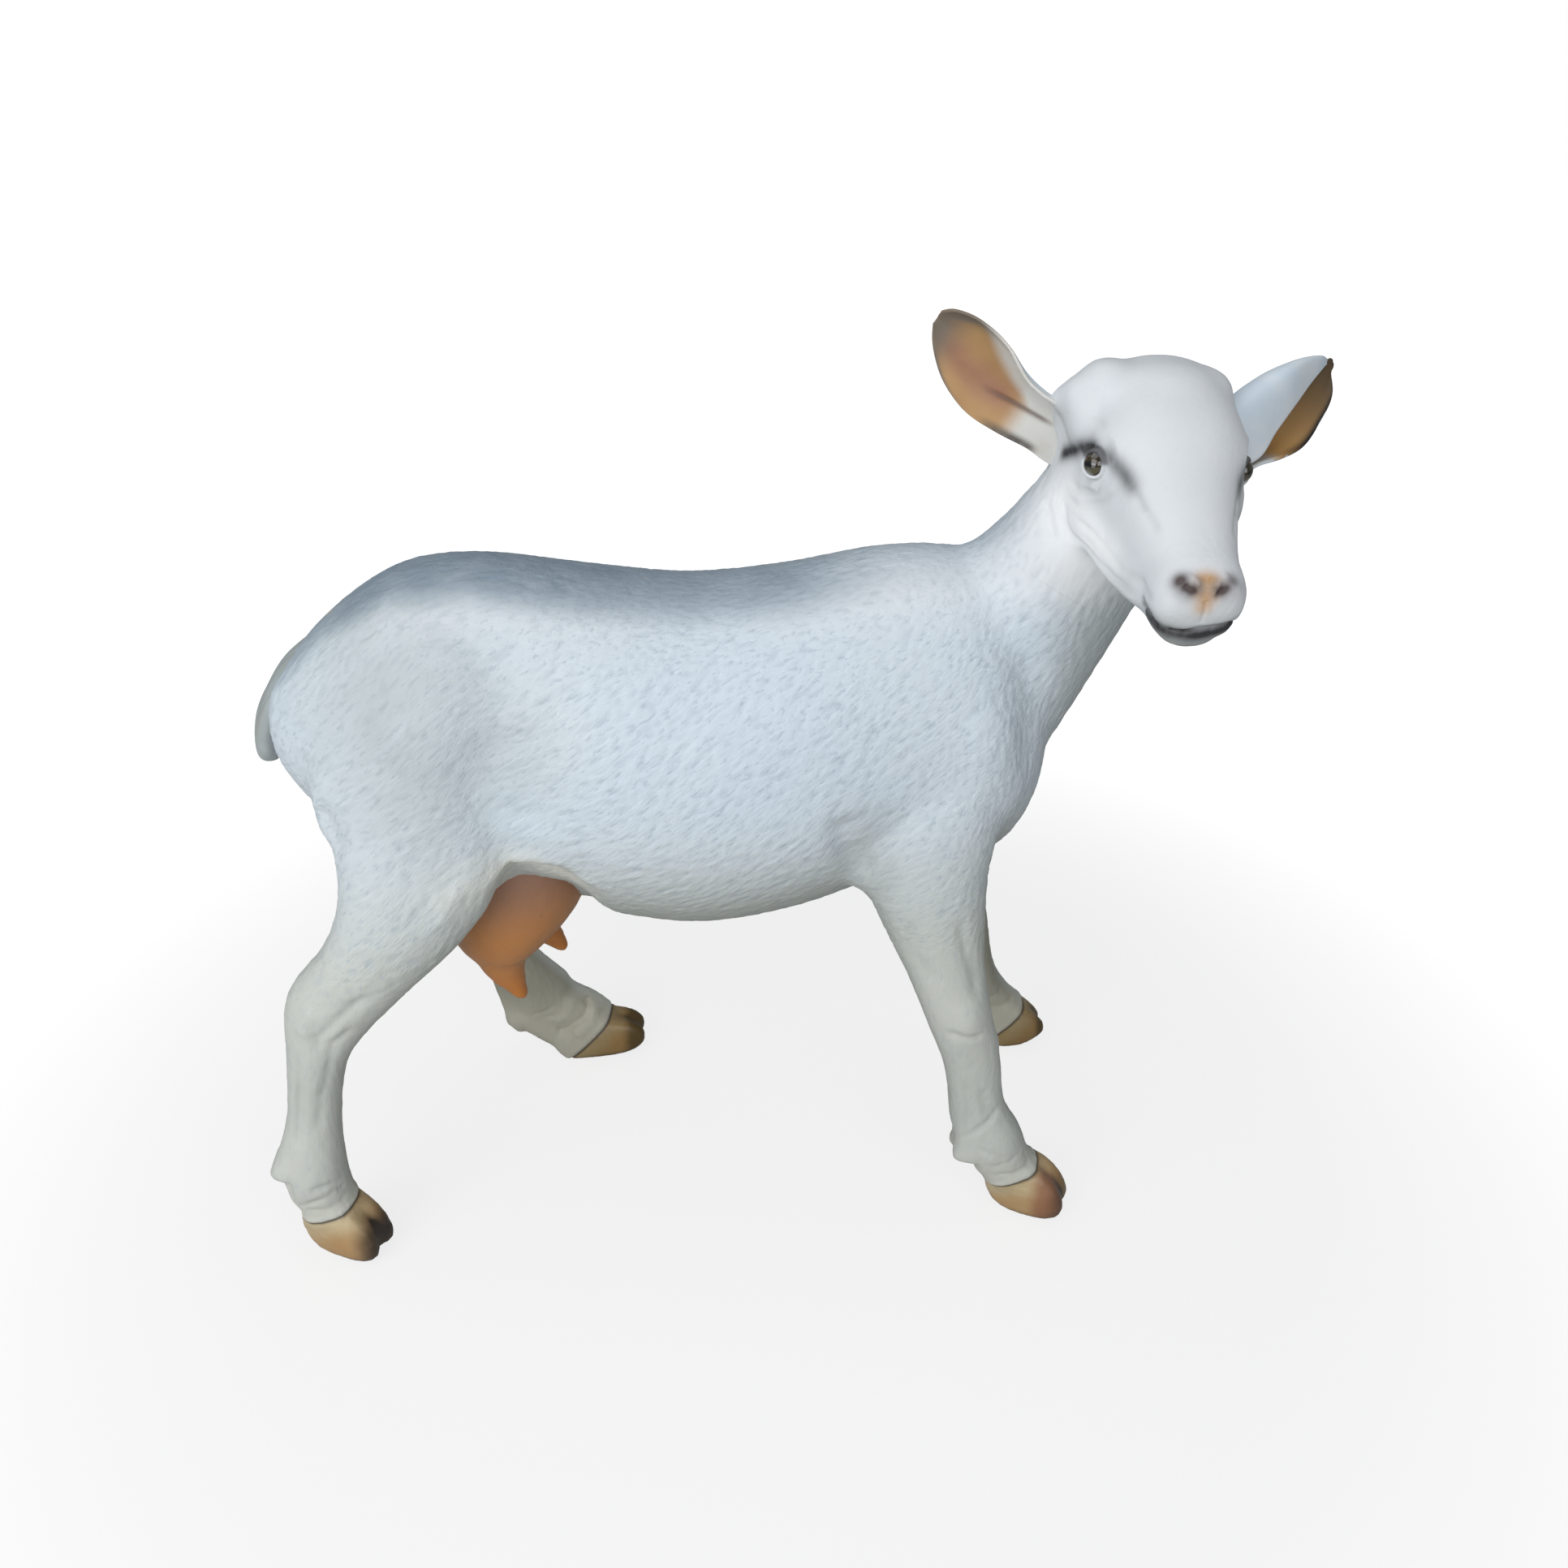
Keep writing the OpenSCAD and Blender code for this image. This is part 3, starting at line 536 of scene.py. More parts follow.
mouthShade = [(112, -33, -42), (123, -31, -42), (130, -24, -44), (135, -16, -45), (137, -6, -45),
              (138, 3, -43), (137, 12, -41), (134, 22, -38), (126, 30, -38)]
philtrum = [(135, -3, -12), (138, -1, -20), (139, 0, -32)]
push = 1.3 * strokes(h, faceStrokes) + strokes(h, noseStrokes, noseMid)
push -= 3.2 * mark(h, mouthLine, 2.0, 0.05)
push += 1.2 * mark(h, np.array(mouthShade) - (0, 0, 5), 4.5, 0.15)
push -= 0.8 * mark(h, philtrum, 1.8, 0.1)

# Strokes on the body, in the goat's frame, for both sides, and the folds behind the jaw
bodyStrokes = [
    ([(-396, 98, 482), (-389, 104, 472), (-382, 111, 458), (-376, 119, 438)], 13, -5),
    ([(36, 124, 475), (46, 117, 435), (74, 106, 392)], 13, -5),
    ([(-277, 129, 396), (-253, 116, 418), (-232, 112, 426), (-203, 118, 426), (-178, 114, 410),
      (-152, 110, 390)], 10, 4),
    ([(-315, 142, 370), (-296, 137, 391), (-270, 127, 424), (-255, 121, 444)], 11, 2.5),
    ([(-236, 116, 560), (-226, 116, 500), (-232, 116, 455)], 38, -5),
    ([(-330, 96, 560), (-300, 108, 500), (-290, 120, 450)], 30, 3),
    ([(172, 96, 560), (160, 100, 500), (138, 104, 440)], 30, 3),
    ([(196, 70, 600), (206, 74, 540), (196, 78, 470)], 16, -3),
]
jawFolds = [
    [(211, -30, 709), (212, -43, 691), (216, -51, 676)], [(222, -46, 712), (222, -52, 694), (226, -58, 678)],
    [(240, 40, 712), (240, 50, 690), (238, 54, 670)]]
push += strokes(co, bodyStrokes)
for line in jawFolds:
    push -= 1.8 * mark(co, line, 3.6)

# Legs: hock and knee bones, tendon grooves, pastern folds and a puffed rim above each coronet
legStrokes = {
    "hind": [
        ([(-356, 146, 322), (-377, 149, 311), (-400, 152, 291), (-416, 151, 275), (-422, 151, 249)], 5.5, -3.0),
        ([(-384, 147, 285), (-406, 150, 267), (-413, 149, 246)], 4.5, -2.2),
        ([(-415, 146, 308), (-431, 147, 282), (-419, 150, 276)], 7, 2.2),
        ([(-432, 148, 273), (-448, 149, 199), (-458, 156, 140)], 5, -2.0),
        ([(-409, 149, 257), (-428, 148, 198)], 5, -1.5),
        ([(-456, 166, 102), (-439, 161, 103), (-426, 145, 99)], 3.4, -2.2),
        ([(-433, 156, 92), (-427, 148, 90)], 3, -2.4),
        ([(-471, 159, 76), (-454, 164, 86), (-441, 161, 87)], 3.2, -1.6)],
    "fore": [
        ([(145, 126, 371), (153, 129, 335), (165, 130, 301), (168, 136, 270)], 7, -2.6),
        ([(104, 126, 364), (110, 128, 322), (133, 136, 291)], 7, -2.0),
        ([(139, 139, 246), (159, 144, 239), (179, 137, 238)], 4.2, -2.6), ([(160, 142, 264)], 16, 2.8),
        ([(188, 118, 214)], 10, 2.5),
        ([(160, 140, 104), (172, 145, 116), (190, 144, 134), (204, 138, 152)], 3.6, -2.2),
        ([(228, 140, 89), (241, 140, 70)], 4, -1.6),
        ([(177, 146, 103), (196, 153, 95), (210, 150, 83)], 3.6, -1.6)],
}
flankStrokes = [  # station, then forward, inward and up from its flank; radius, height and thin ends
    ([(5, 6, 0, 6)], 15, 2.5, 0), ([(6, -9, 0, -6), (7, -12, 0, 10), (7, -14, 0, -24)], 5, -2.2, 0.25),
    ([(6, 8, 0, -16), (7, 8, 0, 0)], 5, -1.5, 0.25),
    ([(9, -16, 0, 4), (9, 6, 0, 2), (9, 26, 12, 10)], 3.4, -1.6, 0.2),
    ([(8, -4, 0, -16), (8, 16, 0, -10), (8, 28, 14, -2)], 3.2, -1.3, 0.2), ([(8, -2, 0, 0)], 14, 1.6, 0)]
lowFootStrokes = [
    ([(-226, 128, 80), (-220, 125, 74), (-223, 117, 62), (-245, 113, 45), (-260, 115, 39)], 4, -2.6),
    ([(-212, 126, 70), (-220, 116, 52), (-238, 111, 36)], 7, 3.0),
    ([(-238, 126, 86), (-240, 114, 68), (-262, 112, 54)], 8, 2.0)]
for (kind, side), rows in legRows.items():
    low = (kind, side) == lowFoot
    r = [np.array(q) for q in rows]
    for line, radius, rise in legStrokes[kind]:
        p = np.array(line, float) * (1, side, 1)
        if side > 0:  # the same marks where the other leg stands
            level, ahead = np.array([(a[2], b[0] - a[0]) for a, b in zip(legRows[kind, -1], rows)])[::-1].T
            p[:, 0] += np.interp(p[:, 2], level, ahead)
        push += rise * mark(co, p, radius, 0 if len(line) == 1 else 0.25)
    for line, radius, rise in lowFootStrokes if low else []:
        push += rise * mark(co, line, radius, 0.1)
    for edge in both:
        flank = [q[:3] + (0, edge * (q[5] - 1), 0) for q in r]
        for line, radius, rise, ends in flankStrokes:
            push += rise * mark(co, [flank[k] + (u, -edge * v, w) for k, u, v, w in line], radius, ends)
    x, y, z = (co - (feet[kind, side][0], side * stance[kind], 0)).T
    lift = overCoronet(co, kind, side)
    ring = (np.abs(x) < 75) & (np.abs(y) < 50) & (z < 110)
    push += ring * (0.9 * bell(lift - 4.5, 3.5) - 1.1 * bell(lift, 1.4))
    fetlock, back = r[8][:3], r[8][0] - r[8][4] - 6
    ledge = fetlock[2] + (10 if kind == "hind" else -14) - (56 if low else 0)
    x, y, z = (co - (fetlock[0], fetlock[1], ledge)).T
    behind = fade(x, -12, -22) * (np.abs(x) < 60) * (np.abs(y) < 34) * (np.abs(z) < 60)
    push += behind * (3.0 * between(z, -3, 1, 30, 4) - (0 if low else 5.5) * between(z, -1, -5, -34, -10))
    push -= 2.0 * mark(co, [(back, fetlock[1], ledge + 26), (back, fetlock[1], ledge - 8)], 4, 0)

# Coat: short dashes of hair lying back and down, broad enough to be carved
hair = {"long": 12.0, "wide": 4.2, "depth": 0.85, "wander": 34,
        "ways": {"trunk": (-0.78, 0, -0.62), "neck": (-0.3, 0, -0.95), "leg": (0.12, 0, -1)}}


def dashes(co, way):
    f = unit(np.array(way, float))
    g = unit(np.cross(f, (0, 1, 0)))
    q = co + hair["wander"] * np.array([noise.noise_vector(Vector(p / 130)) for p in co])
    return noiseAt(np.stack((q @ f / hair["long"], q @ g / hair["wide"], q[:, 1] / hair["wide"]), 1))


def coatAt(co):
    steep, shank = fade(co[:, 0], 60, 190), fade(co[:, 2], 350, 270)
    shares = {"trunk": (1 - steep) * (1 - shank), "neck": steep * (1 - shank), "leg": 0.5 * shank}
    depth = np.zeros(len(co))
    for zone, share in shares.items():
        on = np.flatnonzero(share > 0.01)
        if len(on):
            depth[on] += share[on] * dashes(co[on], hair["ways"][zone])
    return depth * (1 - 0.85 * zones(co)[1])


push += hair["depth"] * coatAt(co)
co = co + normal * push[:, None]

# Lids: the skin closes round each eyeball and leaves an almond open
eyeBall = {"radius": 11.0, "opening": 43, "almond": 9, "lid": 1.7, "socket": 8.8,
           "at": {-1: (0, -56, 0), 1: (0, 53, 0)}}
headTurn = np.array(atHead.to_3x3())


def gaze(side):
    return np.array(atHead @ Vector(eyeBall["at"][side])), unit(headTurn @ (0.58, side * 0.76, 0.3))


for side in both:
    centre, axis = gaze(side)
    corner = headTurn @ (0.84, 0, -0.5)
    corner = unit(corner - axis * (corner @ axis))
    d = co - centre
    r = np.linalg.norm(d, axis=1)
    near = np.flatnonzero(r < 24)
    d, r = d[near] / r[near, None], r[near]
    turn = np.degrees(np.arccos(np.clip(d @ axis, -1, 1)))
    flat = d - (d @ axis)[:, None] * axis
    along = np.abs(flat @ corner) / np.maximum(np.linalg.norm(flat, axis=1), 1e-6)
    rim = eyeBall["opening"] + eyeBall["almond"] * along ** 3
    lid = eyeBall["radius"] + eyeBall["lid"] - eyeBall["socket"]
    lid = eyeBall["socket"] + lid * fade(turn, rim - 5, rim + 5)
    free = fade(turn, rim + 14, rim + 42)
    co[near] = centre + d * (lid * (1 - free) + r * free)[:, None]
co[:, 2] = np.maximum(co[:, 2], 0)
setPoints(body, co)
print("carved")

# Paint: soft masks from where a point lies, the same for every piece that shares the skin
sootLines = [
    ([(-58, 66, -34), (-50, 65, -27), (-41, 63, -18), (-26, 61, -4), (-10, 61, 7), (2, 58, 12)],
     6.3, 1.1, 0.14),
    ([(-8, 61, 8), (6, 55, 12), (18, 48, 12), (29, 43, 10), (40, 39, 7), (50, 36, 4)], 6.8, 0.75, 0.3),
    ([(-22, 62, -8), (-10, 62, 4), (2, 61, 10), (10, 57, 8)], 3.0, 0.3, 0.12),
    ([(36, 40, 9), (50, 36, 6), (62, 33, 3)], 3.6, 0.1, 0.12)]
noseLines = [
    ([(123, -4, -2), (122, 0, -2), (123, 4, -2)], 5.5, 0.2, 0), ([(127, 8, -4), (132, 7, -10)], 5.0, 0.4, 0),
    ([(126, 0, -4), (131, 0, -8), (135, 0, -13), (136, 2, -18)], 6.2, 0.42, 0)]
nostrilLines = [([(125, 17, -6), (127, 15, -8), (128, 12, -9), (128, 9, -8)], 6.6, 1.4, 0)]
# Painted shade: a soft dark band down the chin, below the mouth
chinLine = [(122, -16, -53), (128, 2, -54), (128, 18, -50)]
farFaceLine = [(-4, 56, -14), (28, 50, -18), (62, 42, -20)]
rumpLine = [(-452, 0, 560), (-425, 0, 590), (-385, 0, 618)]
shadeLines = [
    ([(-270, 112, 604), (-225, 116, 562), (-216, 116, 520)], 44, 0.3, 0),
    ([(-348, 98, 600), (-338, 104, 555), (-312, 114, 500)], 74, 0.62, 0),
    ([(60, 124, 460), (70, 112, 400)], 24, 0.35, 0), ([(196, 78, 560), (206, 76, 480)], 30, 0.1, 0)]
# Painted light: the cheeks and the neck behind the jaw are painted paler where the lamps leave them dim
paintedLightLines = [
    ([(-16, 60, -46), (14, 56, -48), (46, 46, -46)], 25, 1, 0),
    ([(-40, 52, -84), (-14, 46, -96), (16, 36, -92)], 30, 0.9, 0)]
warmLines = [
    ([(-290, 118, 405), (-256, 112, 420), (-223, 108, 418), (-196, 104, 396)], 20, 1, 0),
    ([(-280, 70, 380), (-250, 70, 350)], 40, 0.8, 0)]
ridge = np.array([(-450, 560), *((x, z + upper) for x, y, z, upper, *_ in trunkRows[1:10]), (230, 655)]).T
stripe = {  # how far it reaches below the ridge, and how dark it is along the back
    "reach": (4, 1, 4, 10, 13, 11, 10, 13, 16, 7, 3),
    "dark": ((-460, -420, -360, -250, -100, 0, 90, 170, 240),
             (0.3, 0.6, 0.95, 0.95, 0.85, 0.75, 0.26, 0.12, 0.12))}


def paintMasks(co):
    h = inHead(co)
    x, y, z = co[:, 0], np.abs(co[:, 1]), co[:, 2]
    m = {"nose": strokes(h, noseLines, noseMid), "nostril": strokes(h, nostrilLines, noseMid)}
    # Dark paint on the brows, the tear lines, the mouth line and the upper lids, with painted shade in a band
    # below the mouth and down the chin
    soot = np.maximum(strokes(h, sootLines), 0.5 * mark(h, chinLine, 13, 0))
    soot = np.maximum(soot, np.maximum(1.2 * mark(h, mouthLine, 3.4, 0.04), mark(h, mouthShade, 7.4, 0.06)))
    for side in both:  # dark upper lids
        e = h - np.array(eyeBall["at"][side])
        upper = fade(np.linalg.norm(e, axis=1), 17, 13) * fade(e[:, 2] - 0.25 * e[:, 0], 0.5, 6)
        soot = np.maximum(soot, 0.85 * upper)
    m["soot"] = soot
    # painted shade in the grooves between the carved hairs
    m["coat"] = -2.4 * coatAt(co) - 0.25
    m["face"] = fade(h[:, 0] * 0.72 + h[:, 2] * 0.69, -128, -55) * fade(z, 600, 660)
    deep = np.interp(x, ridge[0], stripe["reach"])
    edge = np.interp(x, *ridge) - deep
    back = fade(z, edge - 14, edge + deep * 0.75) * np.interp(x, *stripe["dark"]) * (z > 500)
    crest = fade(np.linalg.norm(co[:, [0, 2]] - (232, 640), axis=1), 110, 30) * fade(y, 52, 8) * 0.5
    m["stripe"] = np.maximum(back, np.maximum(crest, mark(co, rumpLine, 22, 0) * 0.5))
    # painted shade with a greenish cast of reflected light, from the lower body down
    m["low"] = fade(z, 500, 300)
    warm = strokes(co, warmLines)
    shade = strokes(co, shadeLines) + 0.55 * mark(h, farFaceLine, 12, 0)
    # painted shade in the face's carved folds and grooves, darker where they are deeper
    foldShade = [(line, radius, max(-0.24 * rise, 0)) for line, radius, rise in faceStrokes]
    shade += strokes(h, foldShade)
    shade += fade(z, 470, 325) * fade(y, 150, 90) * fade(x, -350, -250)  # under the belly
    chest = 0.85 * fade(x, 200, 258) * fade(z, 700, 600)
    m["shade"] = shade * (1 - 0.8 * np.clip(warm, 0, 1)) + chest + 0.12 * fade(z, 330, 180)
    m["warm"] = warm * 0.8 + 0.4 * fade(z, 110, 60)
    m["light"] = strokes(h, paintedLightLines)
    m["cuff"] = np.zeros(len(co))
    for foot in feet:
        m["cuff"] = np.maximum(m["cuff"], nearFoot(co, *foot) * bell(overCoronet(co, *foot), 1.7))
    return {name: np.clip(values, 0, 1) for name, values in m.items()}


# Cut the skin where the mouldings meet
neckPlane = (np.array((238, 0, 628)), unit(np.array((0.5, 0, 0.86))))
headPlane = (np.array(atHead @ Vector((-20, 0, -85))), headTurn @ (0.72, 0, 0.69))
bm = bmesh.new()
bm.from_mesh(body)


def cut(point, way, wanted):
    p, n = Vector(point), Vector(way).normalized()
    near = [f for f in bm.faces if abs((f.verts[0].co - p).dot(n)) < 9 and wanted(f.verts[0].co)]
    geom = near + parts(near, "edges") + parts(near, "verts")
    bmesh.ops.bisect_plane(bm, geom=geom, dist=0.02, plane_co=p, plane_no=n)


def aboveNeck(c):
    return (c - Vector(neckPlane[0])).dot(Vector(neckPlane[1]))


cut((0, 0, 0), (0, 1, 0), lambda c: aboveNeck(c) < 12 and c.z > 290)
cut(*neckPlane, lambda c: c.x > 120)
cut(*headPlane, lambda c: aboveNeck(c) > -5 and c.x > 150)
cut((0, 0, legTop), (0, 0, 1), lambda c: abs(c.y) > 45 and (c.x < -240 or c.x > 55))
for kind, side in feet:
    x, y = feet[kind, side][0], side * stance[kind]
    cut(*coronet(kind, side), lambda c: abs(c.x - x) < 80 and abs(c.y - y) < 55 and c.z < 100)
bm.normal_update()
bm.verts.ensure_lookup_table()
bm.faces.ensure_lookup_table()
mid = np.array([f.calc_center_median() for f in bm.faces])
x, y, z = mid.T
neckSide = ((mid - neckPlane[0]) @ neckPlane[1] > 0) & (x > 120)
headSide = (mid - headPlane[0]) @ headPlane[1] > 0
lower = (z < legTop) & (np.abs(y) > 45) & ((x < -245) | (z < 300) | (x > 58))
piece = np.full(len(mid), "trunk_right_shell", dtype="U24")
piece[y > 0] = "trunk_left_shell"
piece[neckSide] = "neck_shell"
piece[neckSide & headSide] = "head_shell"
for kind, side in feet:
    own = lower & ((x < 0) == (kind == "hind")) & (y * side > 0)
    horny = (overCoronet(mid, kind, side) < 0) & (z < 110) & (np.abs(x - feet[kind, side][0]) < 90)
    piece[own] = "leg_%s_%s" % (kind, sideNames[side])
    piece[own & horny] = "hoof_%s_%s" % (kind, sideNames[side])
print("pieces", {n: int((piece == n).sum()) for n in np.unique(piece)})


# A shader value that can be added, multiplied and eased
class Value:
    def __init__(self, paint, socket):
        self.paint, self.socket = paint, socket

    def __add__(self, other, kind="ADD"):
        return self.paint.node("Math", {0: self, 1: other}, operation=kind)

    def __mul__(self, other):
        return self.__add__(other, "MULTIPLY")

    def __rsub__(self, other):
        return self * -1 + other

    __radd__, __rmul__ = __add__, __mul__

    def clip(self):
        return self.paint.node("Clamp", {"Value": self})

    def ramp(self, low, high):
        return self.paint.node("MapRange", {"Value": self, "From Min": low, "From Max": high},
                               interpolation_type="SMOOTHSTEP")


# A colour as the eye reads it, 0 to 255, to the shader's own scale
def tint(r, g, b):
    return tuple(((c / 255 + 0.055) / 1.055) ** 2.4 if c > 10 else c / 3300 for c in (r, g, b)) + (1.0,)


# A material, or the world, and the nodes that make its colour
class Finish:
    def __init__(self, name, kind=bpy.data.materials):
        self.made = kind.new(name)
        self.made.use_nodes = True
        self.tree = self.made.node_tree
        self.shader = self.tree.nodes.get("Principled BSDF")
        self.place = self.node("TexCoord", out="Object")

    def node(self, kind, inputs={}, out=0, **settings):
        n = self.tree.nodes.new("ShaderNode" + kind)
        for key, value in settings.items():
            setattr(n, key, value)
        for key, value in inputs.items():
            self.feed(n.inputs[key], value)
        return Value(self, n.outputs[out])

    def feed(self, socket, value):
        if isinstance(value, Value):
            self.tree.links.new(value.socket, socket)
        else:
            socket.default_value = value

    def mix(self, amount, a, b):
        return self.node("Mix", {0: amount, 6: a, 7: b}, 2, data_type="RGBA")

    # Two colours in soft patches
    def patchy(self, grain, a, b):
        return self.mix(grain.ramp(0.3, 0.7), tint(*a), tint(*b))

    # A coat over a colour where a mask lies, thicker and thinner with a grain
    def coat(self, under, name, rgb, thick=1.0, vary=0.0, grain=None, most=1.0):
        amount = self.mask(name) * (thick + vary * grain if grain else thick)
        return self.mix(amount.clip() * most, under, tint(*rgb))

    def coats(self, colour, *rows):
        for row in rows:
            colour = self.coat(colour, *row)
        return colour

    def grain(self, scale, detail=3, stretch=None, turn=(0, 0, 0), rough=0.55, wander=0.0):
        where = self.place
        if wander:
            bend = self.node("TexNoise", {"Vector": where, "Scale": 7.0, "Detail": 1.0}, 1)
            bend = self.node("VectorMath", {0: bend, "Scale": wander}, operation="SCALE")
            where = self.node("VectorMath", {0: where, 1: bend}, operation="ADD")
        if stretch:
            turned = {"Rotation": [math.radians(t) for t in turn], "Scale": [1 / k for k in stretch]}
            where = self.node("Mapping", {"Vector": where, **turned}, vector_type="TEXTURE")
        return self.node("TexNoise", {"Vector": where, "Scale": scale, "Detail": detail, "Roughness": rough})

    def mask(self, name):
        return self.node("Attribute", out="Fac", attribute_name=name)

    # Gloss is the specular level, the clear coat and the coat's roughness
    def done(self, colour, rough, gloss=(0.5, 0.0, 0.03), bump=None, height=0.0005, strength=0.6):
        names = ("Base Color", "Roughness", "Specular IOR Level", "Coat Weight", "Coat Roughness")
        for name, value in zip(names, (colour, rough, *gloss)):
            self.feed(self.shader.inputs[name], value)
        if bump:
            relief = {"Height": bump, "Distance": height, "Strength": strength}
            self.feed(self.shader.inputs["Normal"], self.node("Bump", relief))
        return self.made


coats = {  # which way the hairs lie, how deep they are and how dark between them
    "trunk": {"turn": -38, "bump": 0.85, "shade": 0.44}, "neck": {"turn": -72, "bump": 0.8, "shade": 0.44},
    "head": {"turn": -72, "bump": 0.8, "shade": 0.4}, "leg": {"turn": -80, "bump": 0.3, "shade": 0.25}}


def bodyPaint(zone):
    f = Finish("body_paint_" + zone)
    own = coats[zone]
    cloud, wide, speck = f.grain(5, 3), f.grain(26, 3), f.grain(420, 2)
    lie = ((0, own["turn"], 0), 0.6, 0.03)
    hairs, streak = f.grain(320, 2, (0.26, 1, 1), *lie), f.grain(70, 3, (0.25, 1, 1), *lie)
    face = f.mask("face")
    calm = 1 - 0.88 * face
    colour = f.patchy(cloud, (197, 210, 221), (203, 213, 221))
    colour = f.mix(face, colour, f.patchy(cloud, (222, 225, 229), (216, 220, 224)))
    # Painted shade and greenish reflected light towards the bottom of the body and down the legs
    colour = f.mix(f.mask("low"), colour, f.patchy(cloud, (194, 197, 190), (184, 188, 182)))
    colour = f.mix(hairs.ramp(0.45, 0.3) * calm * own["shade"], colour, tint(152, 167, 182))
    band = (0.82 + 0.36 * streak) * (0.92 + 0.16 * wide.ramp(0.3, 0.7))
    # Painted shade in the hair grooves (coat) and on surfaces that face down (under), the grey stripe along the
    # back, then more painted shade
    colour = f.coats(colour, ("coat", (150, 164, 178), 0.24), ("under", (172, 175, 168), 0.55),
                     ("stripe", (118, 136, 152), 0, 0.9, band),
                     ("shade", (150, 156, 152), 0.6, 0.6, streak, 0.8))
    if zone == "leg":
        # painted shade on the inner side of the legs
        colour = f.coat(colour, "inner", (136, 133, 116), 0.8, 0.3, cloud)
    # Cream, painted light on the cheeks and jaw, the nose, the nostrils, dark paint with painted shade below
    # the mouth, and the coronet cuffs
    colour = f.coats(colour, ("warm", (224, 221, 206), 0.6, 0.5, cloud, 0.8), ("light", (246, 248, 250), 0.7),
                     ("nose", (192, 152, 108), 0.8, 0.4, speck), ("nostril", (62, 46, 45), 0.95),
                     ("soot", (18, 18, 20), 0.75, 0.5, streak, 0.96), ("cuff", (70, 58, 48), 0.85))
    rough = 0.5 + 0.14 * hairs + 0.2 * f.mask("soot")
    return f.done(colour, rough, (0.38, 0.08, 0.35), hairs * calm * 0.8 + speck * 0.1, 0.0012, own["bump"])


paints = {zone: bodyPaint(zone) for zone in coats}


# Horn: cream under the coronet, ochre on the wall and near black at the toe and sole, with painted shade over
# the far hooves
def hoofPaint():
    f = Finish("hoof_paint")
    band, fine, cloud = f.grain(150, 3, (0.3, 0.3, 1)), f.grain(500, 2), f.grain(30, 3)
    colour = f.mix((band * 0.4 + cloud * 0.6).ramp(0.35, 0.65), tint(192, 178, 144), tint(180, 158, 120))
    colour = f.coats(colour, ("wall", (170, 134, 88), 0.6, 0.7, cloud),
                     ("rust", (134, 86, 62), 0.6, 0.6, cloud),
                     ("toe", (42, 31, 22), 0.7, 0.6, cloud), ("dull", (104, 80, 20)), ("cuff", (62, 48, 36)))
    return f.done(colour, 0.36 + 0.2 * fine, (0.5, 0.2, 0.25), band * 0.6 + fine * 0.4, 0.0006, 0.35)


horn = hoofPaint()
# How dark each toe is painted; the far feet's extra darkness is painted shade
toeDark = {("hind", -1): 1.0, ("fore", -1): 0.62, ("hind", 1): 1.4, ("fore", 1): 1.4}


def hornMasks(co, kind, side):
    near = side < 0
    front, across, high = into(co, atFoot(kind, side)).T
    lift = overCoronet(co, kind, side)
    tip = max(p[0] for p in claws[kind, side]["outline"])
    deep = fade(lift, -4, -30)
    toe = fade(front, tip * 0.42, tip * (0.98 if near else 0.8)) * deep
    toe += 0.75 * fade(high, 12, 1) * fade(front, -30, 10)
    toe += 0.7 * bell(across, 3.5) * fade(front, 0, 18) * deep
    rust = 0.9 * fade(across, 3, -4) * fade(front, 4, 20) if near and kind == "fore" else np.zeros(len(co))
    # dull is painted shade over the far hooves
    return {"wall": np.clip(deep * 0.75 + 0.25 * fade(front, -20, 20), 0, 1), "rust": rust,
            "toe": np.clip(toe * toeDark[kind, side], 0, 1), "dull": np.full(len(co), 0.0 if near else 0.55),
            "cuff": bell(lift, 1.7)}


# Give a finished mesh its place, its finish and its body
def keep(mesh, name, slot, material, masks, *nodes):
    for key, values in masks.items():
        layer = mesh.attributes.new(key, "FLOAT", "POINT").data
        layer.foreach_set("value", np.ascontiguousarray(values, dtype=np.float32))
    setPoints(mesh, (points(mesh) + stand) / 1000)
    mesh.materials.clear()
    mesh.materials.append(material)
    mesh.polygons.foreach_set("use_smooth", np.ones(len(mesh.polygons), bool))
    ob = bpy.data.objects.new(name, mesh)
    scene.collection.objects.link(ob)
    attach(ob, "root")
    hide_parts(*nodes)


